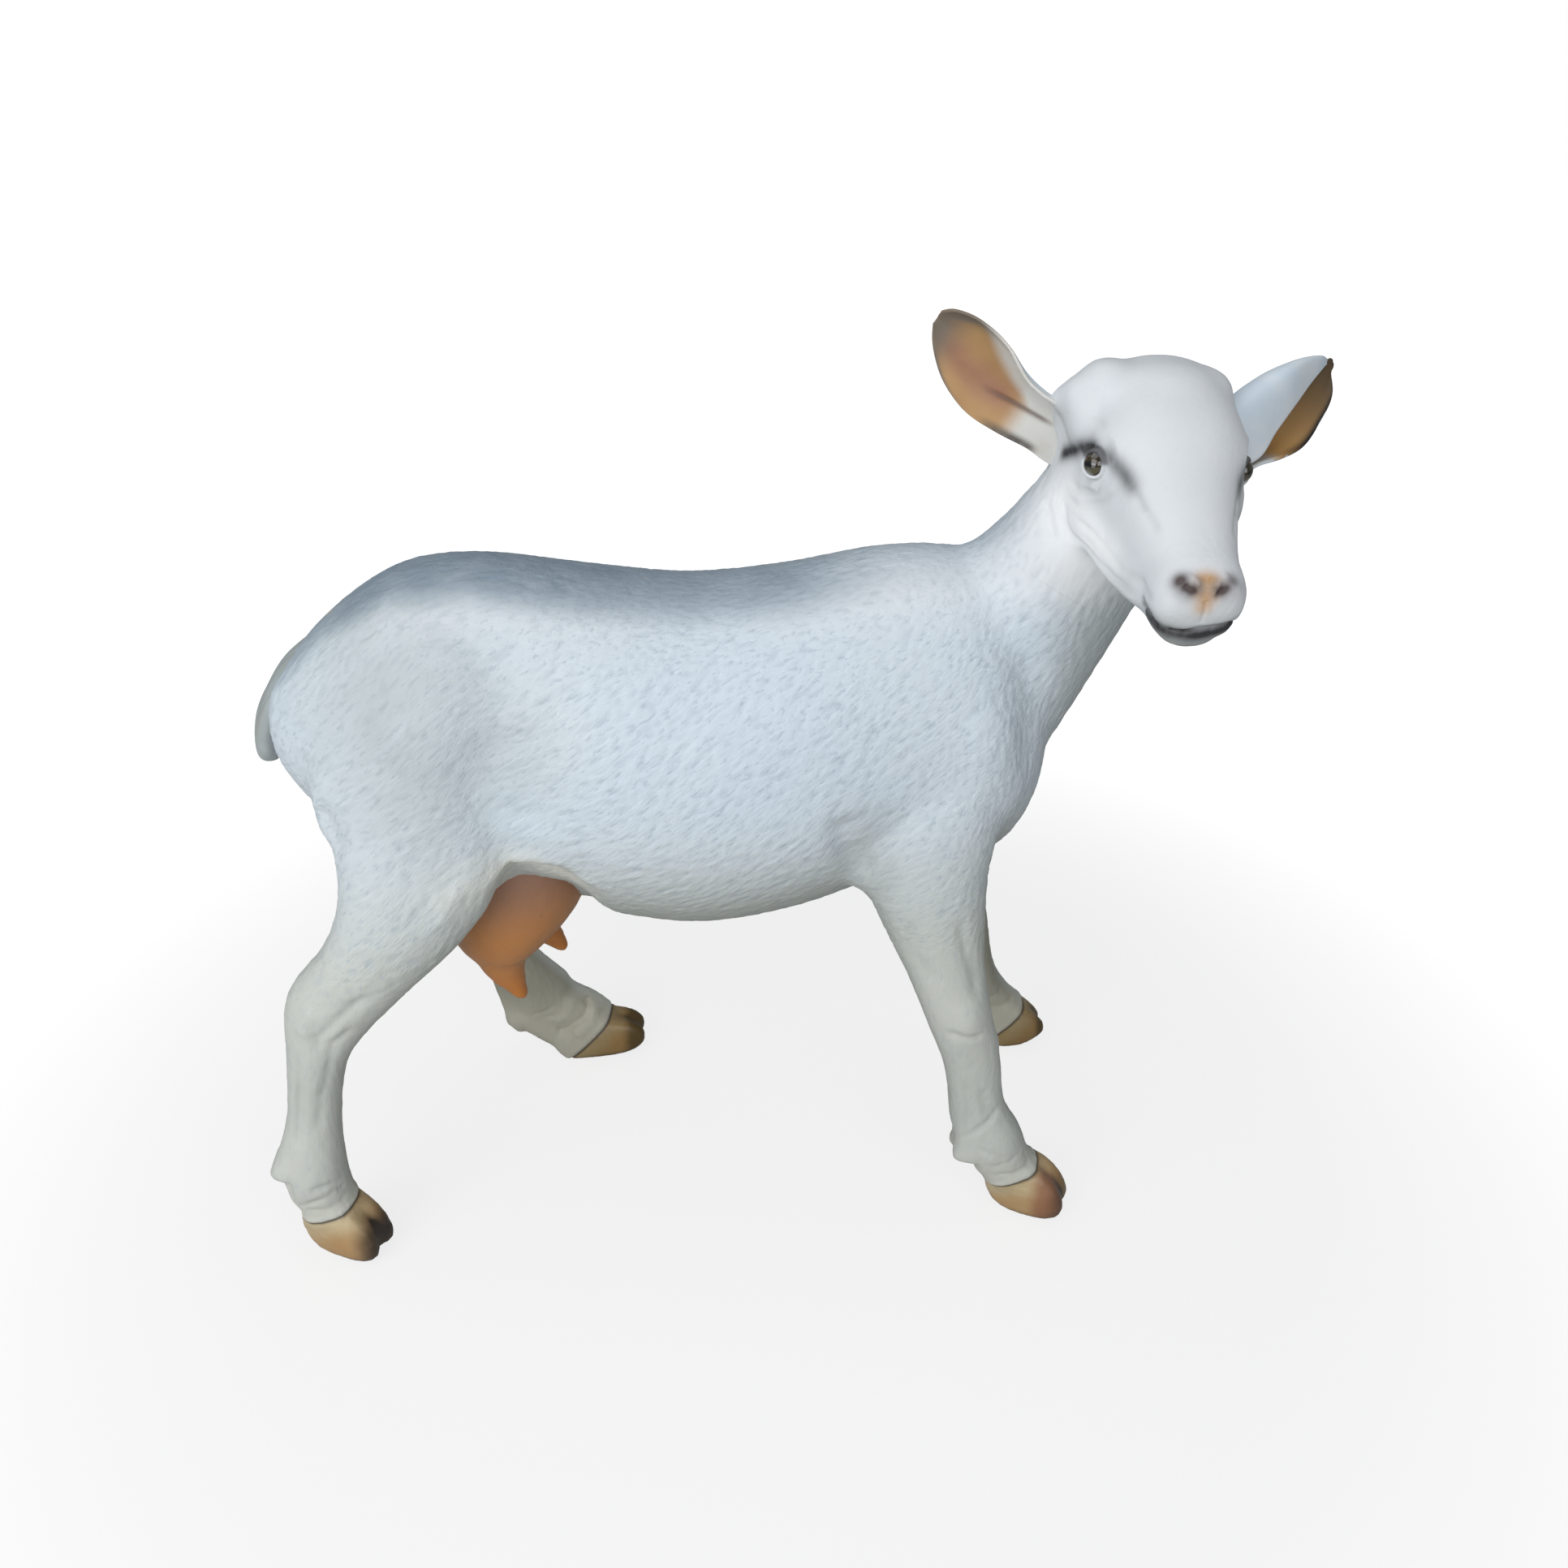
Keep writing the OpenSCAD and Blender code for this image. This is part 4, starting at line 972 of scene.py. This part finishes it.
# One closed moulding for each node of the skin, shaded as the whole skin was
seam = {}
for v in bm.verts:
    if len({piece[f.index] for f in v.link_faces}) > 1:
        seam[tuple(round(c, 2) for c in v.co)] = v.normal.copy()
for name in np.unique(piece):
    part = bm.copy()
    part.faces.ensure_lookup_table()
    bmesh.ops.delete(part, geom=[part.faces[i] for i in np.flatnonzero(piece != name)], context="FACES")
    bare = len(part.faces)
    rimEdges = [e for e in part.edges if e.is_boundary]
    zone, *which = name.split("_")
    if zone == "trunk":  # a straight edge between the seam's cut and the neck's, so that each gets a flat cap
        flats = (lambda v: abs(v.co.y) < 0.1, lambda v: abs(aboveNeck(v.co)) < 0.1)
        ends = [v for v in parts(rimEdges, "verts") if all(flat(v) for flat in flats)]
        bar = part.edges.new([pick(ends, key=lambda v: v.co.x) for pick in (min, max)])
        rims = [[e for e in rimEdges if all(map(flat, e.verts))] + [bar] for flat in flats]
        for rim in rims:
            bmesh.ops.contextual_create(part, geom=rim)
        rimEdges = [e for e in part.edges if e.is_boundary]
    bmesh.ops.holes_fill(part, edges=rimEdges, sides=0)
    mesh = asMesh(part, name)
    co, normal = points(mesh), outward(mesh)
    if zone == "hoof":
        side = next(k for k in both if sideNames[k] == which[1])
        keep(mesh, name + "_claws", "hoof_paint", horn, hornMasks(co, which[0], side), name)
    else:
        masks = paintMasks(co)
        # painted shade on the surfaces that face down
        masks["under"] = fade(-normal[:, 2], 0.0, 0.9)
        if zone == "leg":  # painted shade: the inner side of a leg is darker
            inward = -normal[:, 1] * np.sign(co[:, 1])
            masks["inner"] = fade(inward, -0.1, 0.6) * fade(co[:, 2], legTop - 1, 230) * 0.85
        keep(mesh, name + "_skin", "body_paint", paints[zone], masks, name)
    lean = outward(mesh)
    for i, c in enumerate(co):
        n = seam.get(tuple(np.round(c, 2)))
        if n is not None:
            lean[i] = n
    lean = lean[pulled(mesh.loops, "vertex_index", 1, np.int32)[:, 0]]
    for p in list(mesh.polygons)[bare:]:
        lean[p.loop_start:p.loop_start + p.loop_total] = p.normal
    mesh.normals_split_custom_set(lean.tolist())
    print(name, len(mesh.polygons), "cap faces", len(mesh.polygons) - bare)
bm.free()

# Ears: a leaf laid over given sections, each a run of y, z points from one rim to the other
ears = {
    -1: {"x": (-14, 10, 30, 60, 90, 118, 139, 149), "turn": {}, "thick": 2.4, "sections": [
        ((-35, -4), (-17, -15), (3, -20), (20, -14), (30, -4)),
        ((-27, -2), (-13, -15), (5, -20), (22, -14), (32, -2)),
        ((-19, 0), (-10, -15), (7, -21), (23, -15), (33, -2)),
        ((-17, -2), (-10, -16), (9, -23), (27, -16), (40, -3)),
        ((-27, -8), (-16, -20), (11, -27), (33, -20), (45, -8)),
        ((-26, -14), (-16, -23), (8, -29), (28, -23), (38, -14)),
        ((-16, -20), (-8, -25), (5, -28), (16, -25), (23, -20)),
        ((-4, -24), (-1, -25), (3, -26), (7, -25), (9, -24))]},
    1: {"x": (-14, 10, 40, 70, 100, 128, 143, 148), "turn": {"sweep": 130}, "thick": 3.6, "sections": [
        ((-20, 26), (-22, 2), (0, -17), (19, -12), (22, 8), (-10, 28)),
        ((-18, 28), (-21, 2), (0, -17), (19, -12), (23, 8), (-11, 28)),
        ((-24, 31), (-22, 4), (0, -16), (22, -13), (27, 6), (-5, 21)),
        ((-26, 32), (-21, 8), (2, -12), (24, -10), (30, 7), (0, 15)),
        ((-18, 27), (-15, 9), (4, -6), (21, -5), (27, 5), (5, 9)),
        ((-9, 19), (-7, 10), (5, 1), (15, 0), (19, 3), (9, 4)),
        ((2, 6), (3, 5), (7, 3), (10, 2), (10, 1), (9, 1)), ((6, 3), (7, 3), (8, 2), (9, 2), (9, 1), (8, 1))]},
}


def earPaint(side):
    f = Finish("ear_paint_" + sideNames[side])
    cloud, fine, streak = f.grain(22, 3), f.grain(260, 2), f.grain(60, 3, (1, 0.3, 1))
    back = f.patchy(cloud, (206, 220, 232), (224, 230, 236))
    if side < 0:
        hollow = f.patchy(cloud, (180, 144, 98), (170, 132, 90))
        hollow = f.coats(hollow, ("deep", (150, 106, 82), 0.45, 0.9, streak),
                         ("rim", (116, 106, 95), 0.7, 0.5, streak))
    else:
        # Painted light: the far ear's hollow is painted lighter than the near ear's where little light reaches
        # into it, and darker towards the tip
        hollow = f.mix(f.mask("along").ramp(0.25, 0.8), tint(196, 152, 94), tint(88, 72, 50))
        hollow = f.coat(hollow, "rim", (34, 28, 22), 0.8, 0.4, streak)
    # crease is painted shade along the fold in the hollow
    hollow = f.coats(hollow, ("pale", (206, 206, 202), 0.75, 0.5, streak),
                     ("fringe", (84, 78, 72), 0.6, 0.6, streak),
                     ("crease", (92, 70, 62), 0.8))
    colour = f.mix(f.mask("inner").ramp(0.35, 0.75), back, hollow)
    return f.done(colour, 0.5 + 0.12 * fine, (0.4, 0.08, 0.35), streak * 0.6 + fine * 0.4, 0.0006, 0.35)


for side, ear in ears.items():
    name = "ear_" + sideNames[side]
    earPlace[side].update(ear["turn"])
    sections = np.array([[(x, y, z) for y, z in row] for x, row in zip(ear["x"], ear["sections"])], float)
    table = np.array([spline(r, 40) for r in spline(sections, 12).reshape(-1, sections.shape[1], 3)])
    table = np.swapaxes(table, 0, 1)  # across, then along
    wide, long = (n - 1 for n in table.shape[:2])
    bm = bmesh.new()
    bmesh.ops.create_grid(bm, x_segments=64, y_segments=40, size=0.5)
    layers = {k: bm.verts.layers.float.new(k) for k in ("along", "across")}
    for v in bm.verts:
        u, w = v.co.x + 0.5, v.co.y + 0.5
        i, j = min(int(u * long), long - 1), min(int(w * wide), wide - 1)
        a, b = u * long - i, w * wide - j
        p, q = table[j:j + 2, i] * (1 - a) + table[j:j + 2, i + 1] * a
        v[layers["along"]], v[layers["across"]] = u, w * 2 - 1
        v.co = p * (1 - b) + q * b
    mesh = finished(asMesh(bm, "ear"),
                    ("SOLIDIFY", {"thickness": ear["thick"], "offset": 0.0, "use_rim": True}),
                    ("SUBSURF", {"levels": 1, "render_levels": 1}))
    co = points(mesh)
    u, w = (pulled(mesh.attributes[k].data, "value", 1, np.float32)[:, 0] for k in ("along", "across"))
    a, b = np.clip(u * long, 0, long).astype(int), np.clip((w + 1) / 2 * wide, 0, wide).astype(int)
    base = table[b, a]
    hub = (table[0, a] + table[-1, a]) / 2 * 0.55 + table[len(table) // 2, a] * 0.45
    run = table[b, np.minimum(a + 1, long)] - table[b, np.maximum(a - 1, 0)]
    span = table[np.minimum(b + 1, wide), a] - table[np.maximum(b - 1, 0), a]
    lies = np.sign(((co - base) * np.cross(run, span)).sum(1))
    toward = np.sign(((co - base) * (hub - base)).sum(1))
    inner = (lies * np.sign((lies * toward)[u < 0.6].sum()) > 0).astype(float)  # the hollow side of the leaf
    deep = bell(w - 0.3, 0.32) * between(u, 0.36, 0.5, 0.98, 0.75)
    if side < 0:
        inner = np.maximum(inner, fade(np.abs(w), 0.84, 0.9))
        rim = fade(-w, 0.3, 0.75) * fade(u, 0.5, 0.66) + fade(w, 0.82, 1.0) * fade(u, 0.5, 0.75)
        rim = rim + fade(u, 0.68, 0.88)
        edge = np.interp(u, (0.3, 0.36, 0.62, 0.78, 1.0), (0.25, 0.15, -0.35, -0.85, -1.3))
        pale = fade(u, 0.44, 0.33) + 0.92 * fade(edge - w, -0.12, 0.2) * fade(u, 0.74, 0.56)
        fringe = fade(w, 0.72, 0.92) * between(u, 0.2, 0.28, 0.52, 0.42)
        # a fold in the hollow, carved in and painted darker as painted shade
        crease = bell(w - 0.26 - 0.5 * (u - 0.4), 0.055) * between(u, 0.2, 0.32, 0.6, 0.45)
    else:
        rim = fade(-w, 0.84, 0.99) * fade(u, 0.2, 0.45) + fade(u, 0.86, 0.95)
        pale = fade(u, 0.3, 0.18)
        fringe = crease = np.zeros(len(u))
    flow = noiseAt(np.stack((u * 9, w * 2, u * 0), 1))
    here = atEar(side)
    setPoints(mesh, np.array([here @ Vector(p) for p in co]))
    press(mesh, 0.35 * flow * fade(u, 0.05, 0.3) - 1.2 * crease * inner)
    masks = {"inner": inner, "deep": deep, "rim": np.clip(rim, 0, 1), "pale": np.clip(pale, 0, 1),
             "crease": crease, "fringe": fringe}
    keep(mesh, name + "_leaf", "ear_paint", earPaint(side), masks, name)
    print(name, len(mesh.polygons))


# Eyes: a glass ball with a raised cornea, an amber iris with a painted reflection, olive, over its lower part,
# and a level slot of a pupil
def eyeGlass():
    f = Finish("eye_glass")
    level, rise, front = f.mask("level"), f.mask("rise"), f.mask("front")
    fibre = f.grain(900, 3)
    iris = f.mix((fibre * front).ramp(0.3, 0.65), tint(36, 28, 14), tint(62, 52, 30))
    # painted reflection: the lower part of the iris is olive
    iris = f.mix(rise.ramp(0.1, -0.5), iris, tint(74, 70, 42))
    slot = (level * level * 4.5 + rise * rise * 22).ramp(1.15, 0.85)
    colour = f.mix(slot, iris, tint(10, 9, 8))
    colour = f.mix(front.ramp(0.78, 0.66), colour, tint(18, 14, 10))
    return f.done(colour, 0.06 + 0.05 * fibre, (0.6, 1.0, 0.02))


glass = eyeGlass()
for side in both:
    name = "eye_" + sideNames[side]
    bm = bmesh.new()
    bmesh.ops.create_icosphere(bm, subdivisions=5, radius=eyeBall["radius"])
    mesh = asMesh(bm, "eye")
    centre, axis = gaze(side)
    level = unit(np.cross((0, 0, 1), axis))
    d = points(mesh) / eyeBall["radius"]
    front = d @ axis
    setPoints(mesh, points(mesh) * (1 + 0.07 * fade(front, 0.7, 0.95))[:, None] + centre)
    masks = {"level": d @ level, "rise": d @ np.cross(axis, level), "front": front}
    keep(mesh, name + "_ball", "eye_glass", glass, masks, name)
print("eyes")

# Udder: a full bag that draws in to two teats
udder = {"rough": 3.0, "fine": 1.8, "groove": 5, "bag": [
    (-256, 0, 424, 50, 52, 54, 2.1), (-256, 0, 385, 66, 60, 76, 2.2), (-256, 0, 345, 70, 66, 80, 2.2),
    (-260, 0, 310, 57, 65, 76, 2.1), (-266, 0, 281, 36, 57, 66, 2), (-268, 0, 262, 16, 40, 46, 2)]}
teats = {  # the height of a ring round each teat, and its stations
    246: [(-276, -34, 284, 28, 28, 27, 2), (-272, -38, 262, 21, 22, 21, 2), (-264, -40, 240, 11, 12, 12, 2),
          (-259, -40, 226, 6.5, 7, 7, 2), (-258, -40, 221, 3, 3, 3, 2)],
    238: [(-262, 32, 284, 28, 28, 27, 2), (-250, 37, 258, 20, 21, 20, 2), (-236, 40, 235, 11, 12, 12, 2),
          (-228, 41, 221, 6.5, 7, 7, 2), (-226, 41, 216, 3, 3, 3, 2)]}
bm = bmesh.new()
loft(bm, udder["bag"], 36, 6, (0, 0, -1))
for rows in teats.values():
    loft(bm, rows, 24, 5)
mesh = skinned(asMesh(bm, "udder"), udder["rough"], lambda co: 0.45 * fade(co[:, 2], 222, 262) + 0.03, 14)
mesh = skinned(mesh, udder["fine"])
co = points(mesh)
push = -udder["groove"] * bell(co[:, 1], 9) * fade(co[:, 2], 340, 280)
push += 0.35 * noiseAt(co / 9) * fade(co[:, 2], 225, 260)
for ring, rows in teats.items():
    x, y, z = rows[-1][:3]
    push -= 1.6 * mark(co, [(x, y, z - 3)], 2.2, 0)
    push += 0.5 * bell(co[:, 2] - ring, 2.5) * (np.abs(co[:, 1] - y) < 20)
co = press(mesh, push)
f = Finish("udder_paint")
cloud, fine = f.grain(14, 3), f.grain(320, 2)
colour = f.patchy(cloud, (176, 120, 70), (182, 122, 68))
colour = f.coats(colour, ("low", (188, 116, 46)), ("high", (146, 108, 86)))
colour = f.mix(fine.ramp(0.66, 0.8) * 0.4, colour, tint(120, 80, 54))
veil = f.done(colour, 0.38 + 0.16 * fine, (0.45, 0.15, 0.3), fine * 0.6 + cloud * 0.4, 0.0008, 0.3)
masks = {"low": fade(co[:, 2], 275, 228), "high": fade(co[:, 2], 315, 385)}
keep(mesh, "udder_bag", "udder_paint", veil, masks, "udder")
print("udder", len(mesh.polygons))

# Tail: a short flat brush lying down the rump
tail = {"voxel": 1.6, "lock": 1.1, "rows": [
    (-398, 0, 584, 10, 11, 14, 2), (-420, 0, 564, 13, 13, 20, 2), (-438, 0, 540, 14, 13, 24, 2),
    (-453, 0, 512, 14, 12, 25, 2), (-457, 0, 492, 12, 12, 22, 2), (-457, 0, 480, 9, 10, 17, 2.4),
    (-457, 0, 477, 5, 6, 10, 2.4)]}
bm = bmesh.new()
loft(bm, tail["rows"], 32, 6)
mesh = skinned(asMesh(bm, "tail"), tail["voxel"])
co = points(mesh)
lock = noiseAt(co / (30, 3.4, 34))
co = press(mesh, tail["lock"] * lock * fade(co[:, 2], 575, 540))
masks = paintMasks(co)
masks["stripe"] = np.clip(0.35 + 0.4 * fade(co[:, 2], 500, 560) + 0.3 * lock, 0, 1)
# painted shade over the whole tail, varying with the locks
masks["shade"] = np.clip(0.75 + 0.3 * lock, 0, 1)
masks["inner"] = 0.25 + 0.2 * lock
keep(mesh, "tail_brush", "body_paint", paints["leg"], masks, "tail")
print("tail", len(mesh.polygons))

# Inside: bare laminate over the seams, and the steel that carries the shells
f = Finish("laminate")
weave = f.node("TexVoronoi", {"Vector": f.place, "Scale": 160.0}, feature="F1")
strand = f.grain(240, 3, (1, 0.15, 0.15), (0, 20, 30))
colour = f.patchy(strand, (196, 176, 132), (222, 206, 168))
laminate = f.done(colour, 0.5 + 0.2 * strand, (0.5, 0.2, 0.03), strand * 0.7 + weave * 0.3, 0.0006, 0.5)
f = Finish("steel")
mill, rust, fine = f.grain(90, 3, (0.1, 1, 1)), f.grain(26, 4), f.grain(700, 2)
rusty = rust.ramp(0.6, 0.74)
colour = f.mix(rusty, f.patchy(mill, (122, 124, 128), (148, 150, 153)), tint(112, 72, 48))
rough = 0.36 + 0.3 * rust.ramp(0.5, 0.75) + 0.06 * fine
steel = f.done(colour, rough, bump=mill * 0.7 + fine * 0.3, height=0.0003, strength=0.4)
f.feed(f.shader.inputs["Metallic"], 1 - 0.85 * rusty)
for ob in [o for o in bpy.data.objects if o.name in frame["nodes"]]:
    metal = any(k in ob.name for k in ("rod", "bar", "spine", "sleeve"))
    ob.data.materials.clear()
    ob.data.materials.append(laminate if "tape" in ob.name else steel if metal else paints["trunk"])

# Studio: a pale floor that keeps the shadow, and a surround that looks white but lights softly
floor = bpy.data.objects.new("floor", bpy.data.meshes.new("floor"))
bm = bmesh.new()
bmesh.ops.create_grid(bm, x_segments=1, y_segments=1, size=14)
bmesh.ops.translate(bm, verts=bm.verts, vec=(0, 0, -0.001))
bm.to_mesh(floor.data)
bm.free()
scene.collection.objects.link(floor)
f = Finish("floor")
f.done((0.5, 0.5, 0.5, 1), 0.9, (0.0, 0.0, 0.03))
sees = f.node("LightPath", out="Is Camera Ray")
glow = f.node("Emission", {"Color": (1, 1, 1, 1), "Strength": 1.1})
away = f.node("VectorMath", {0: f.place}, "Value", operation="LENGTH")
share = (0.72 + 0.28 * away.ramp(0.5, 1.3)) * sees
blank = f.node("MixShader", {0: share, 1: Value(f, f.shader.outputs[0]), 2: glow})
f.feed(f.tree.nodes["Material Output"].inputs["Surface"], blank)
floor.data.materials.append(f.made)

sky = Finish("studio", bpy.data.worlds)
scene.world = sky.made
rays = [sky.node("LightPath", out=ray) for ray in ("Is Camera Ray", "Is Transmission Ray")]
seen = sky.node("Math", dict(enumerate(rays)), operation="MAXIMUM")
white, soft = (sky.node("Background", {"Color": colour, "Strength": power})
               for colour, power in (((1, 1, 1, 1), 1.0), ((0.94, 0.98, 1, 1), 0.22)))
around = sky.node("MixShader", {0: seen, 1: soft, 2: white})
sky.feed(sky.tree.nodes["World Output"].inputs["Surface"], around)

lamps = {  # place, aim, size and power: a large soft key from the upper left, a fill from the camera's side
    "key": ((-1.5, -1.8, 1.8), (0, 0, 0.5), 2.6, 43), "fill": ((1.0, -2.2, 1.4), (0.2, -0.1, 0.6), 1.6, 17),
    "top": ((-0.2, 0.3, 2.6), (0, 0, 0.5), 2.0, 13), "bounce": ((-1.4, -1.7, 0.6), (0.2, -0.1, 0.6), 1.4, 11)}
for name, (spot, aim, size, power) in lamps.items():
    lamp = bpy.data.objects.new(name, bpy.data.lights.new(name, "AREA"))
    lamp.data.size, lamp.data.energy = size, power
    lamp.location = spot
    lamp.rotation_euler = (Vector(aim) - Vector(spot)).to_track_quat("-Z", "Y").to_euler()
    scene.collection.objects.link(lamp)
scene.view_settings.view_transform = "Standard"
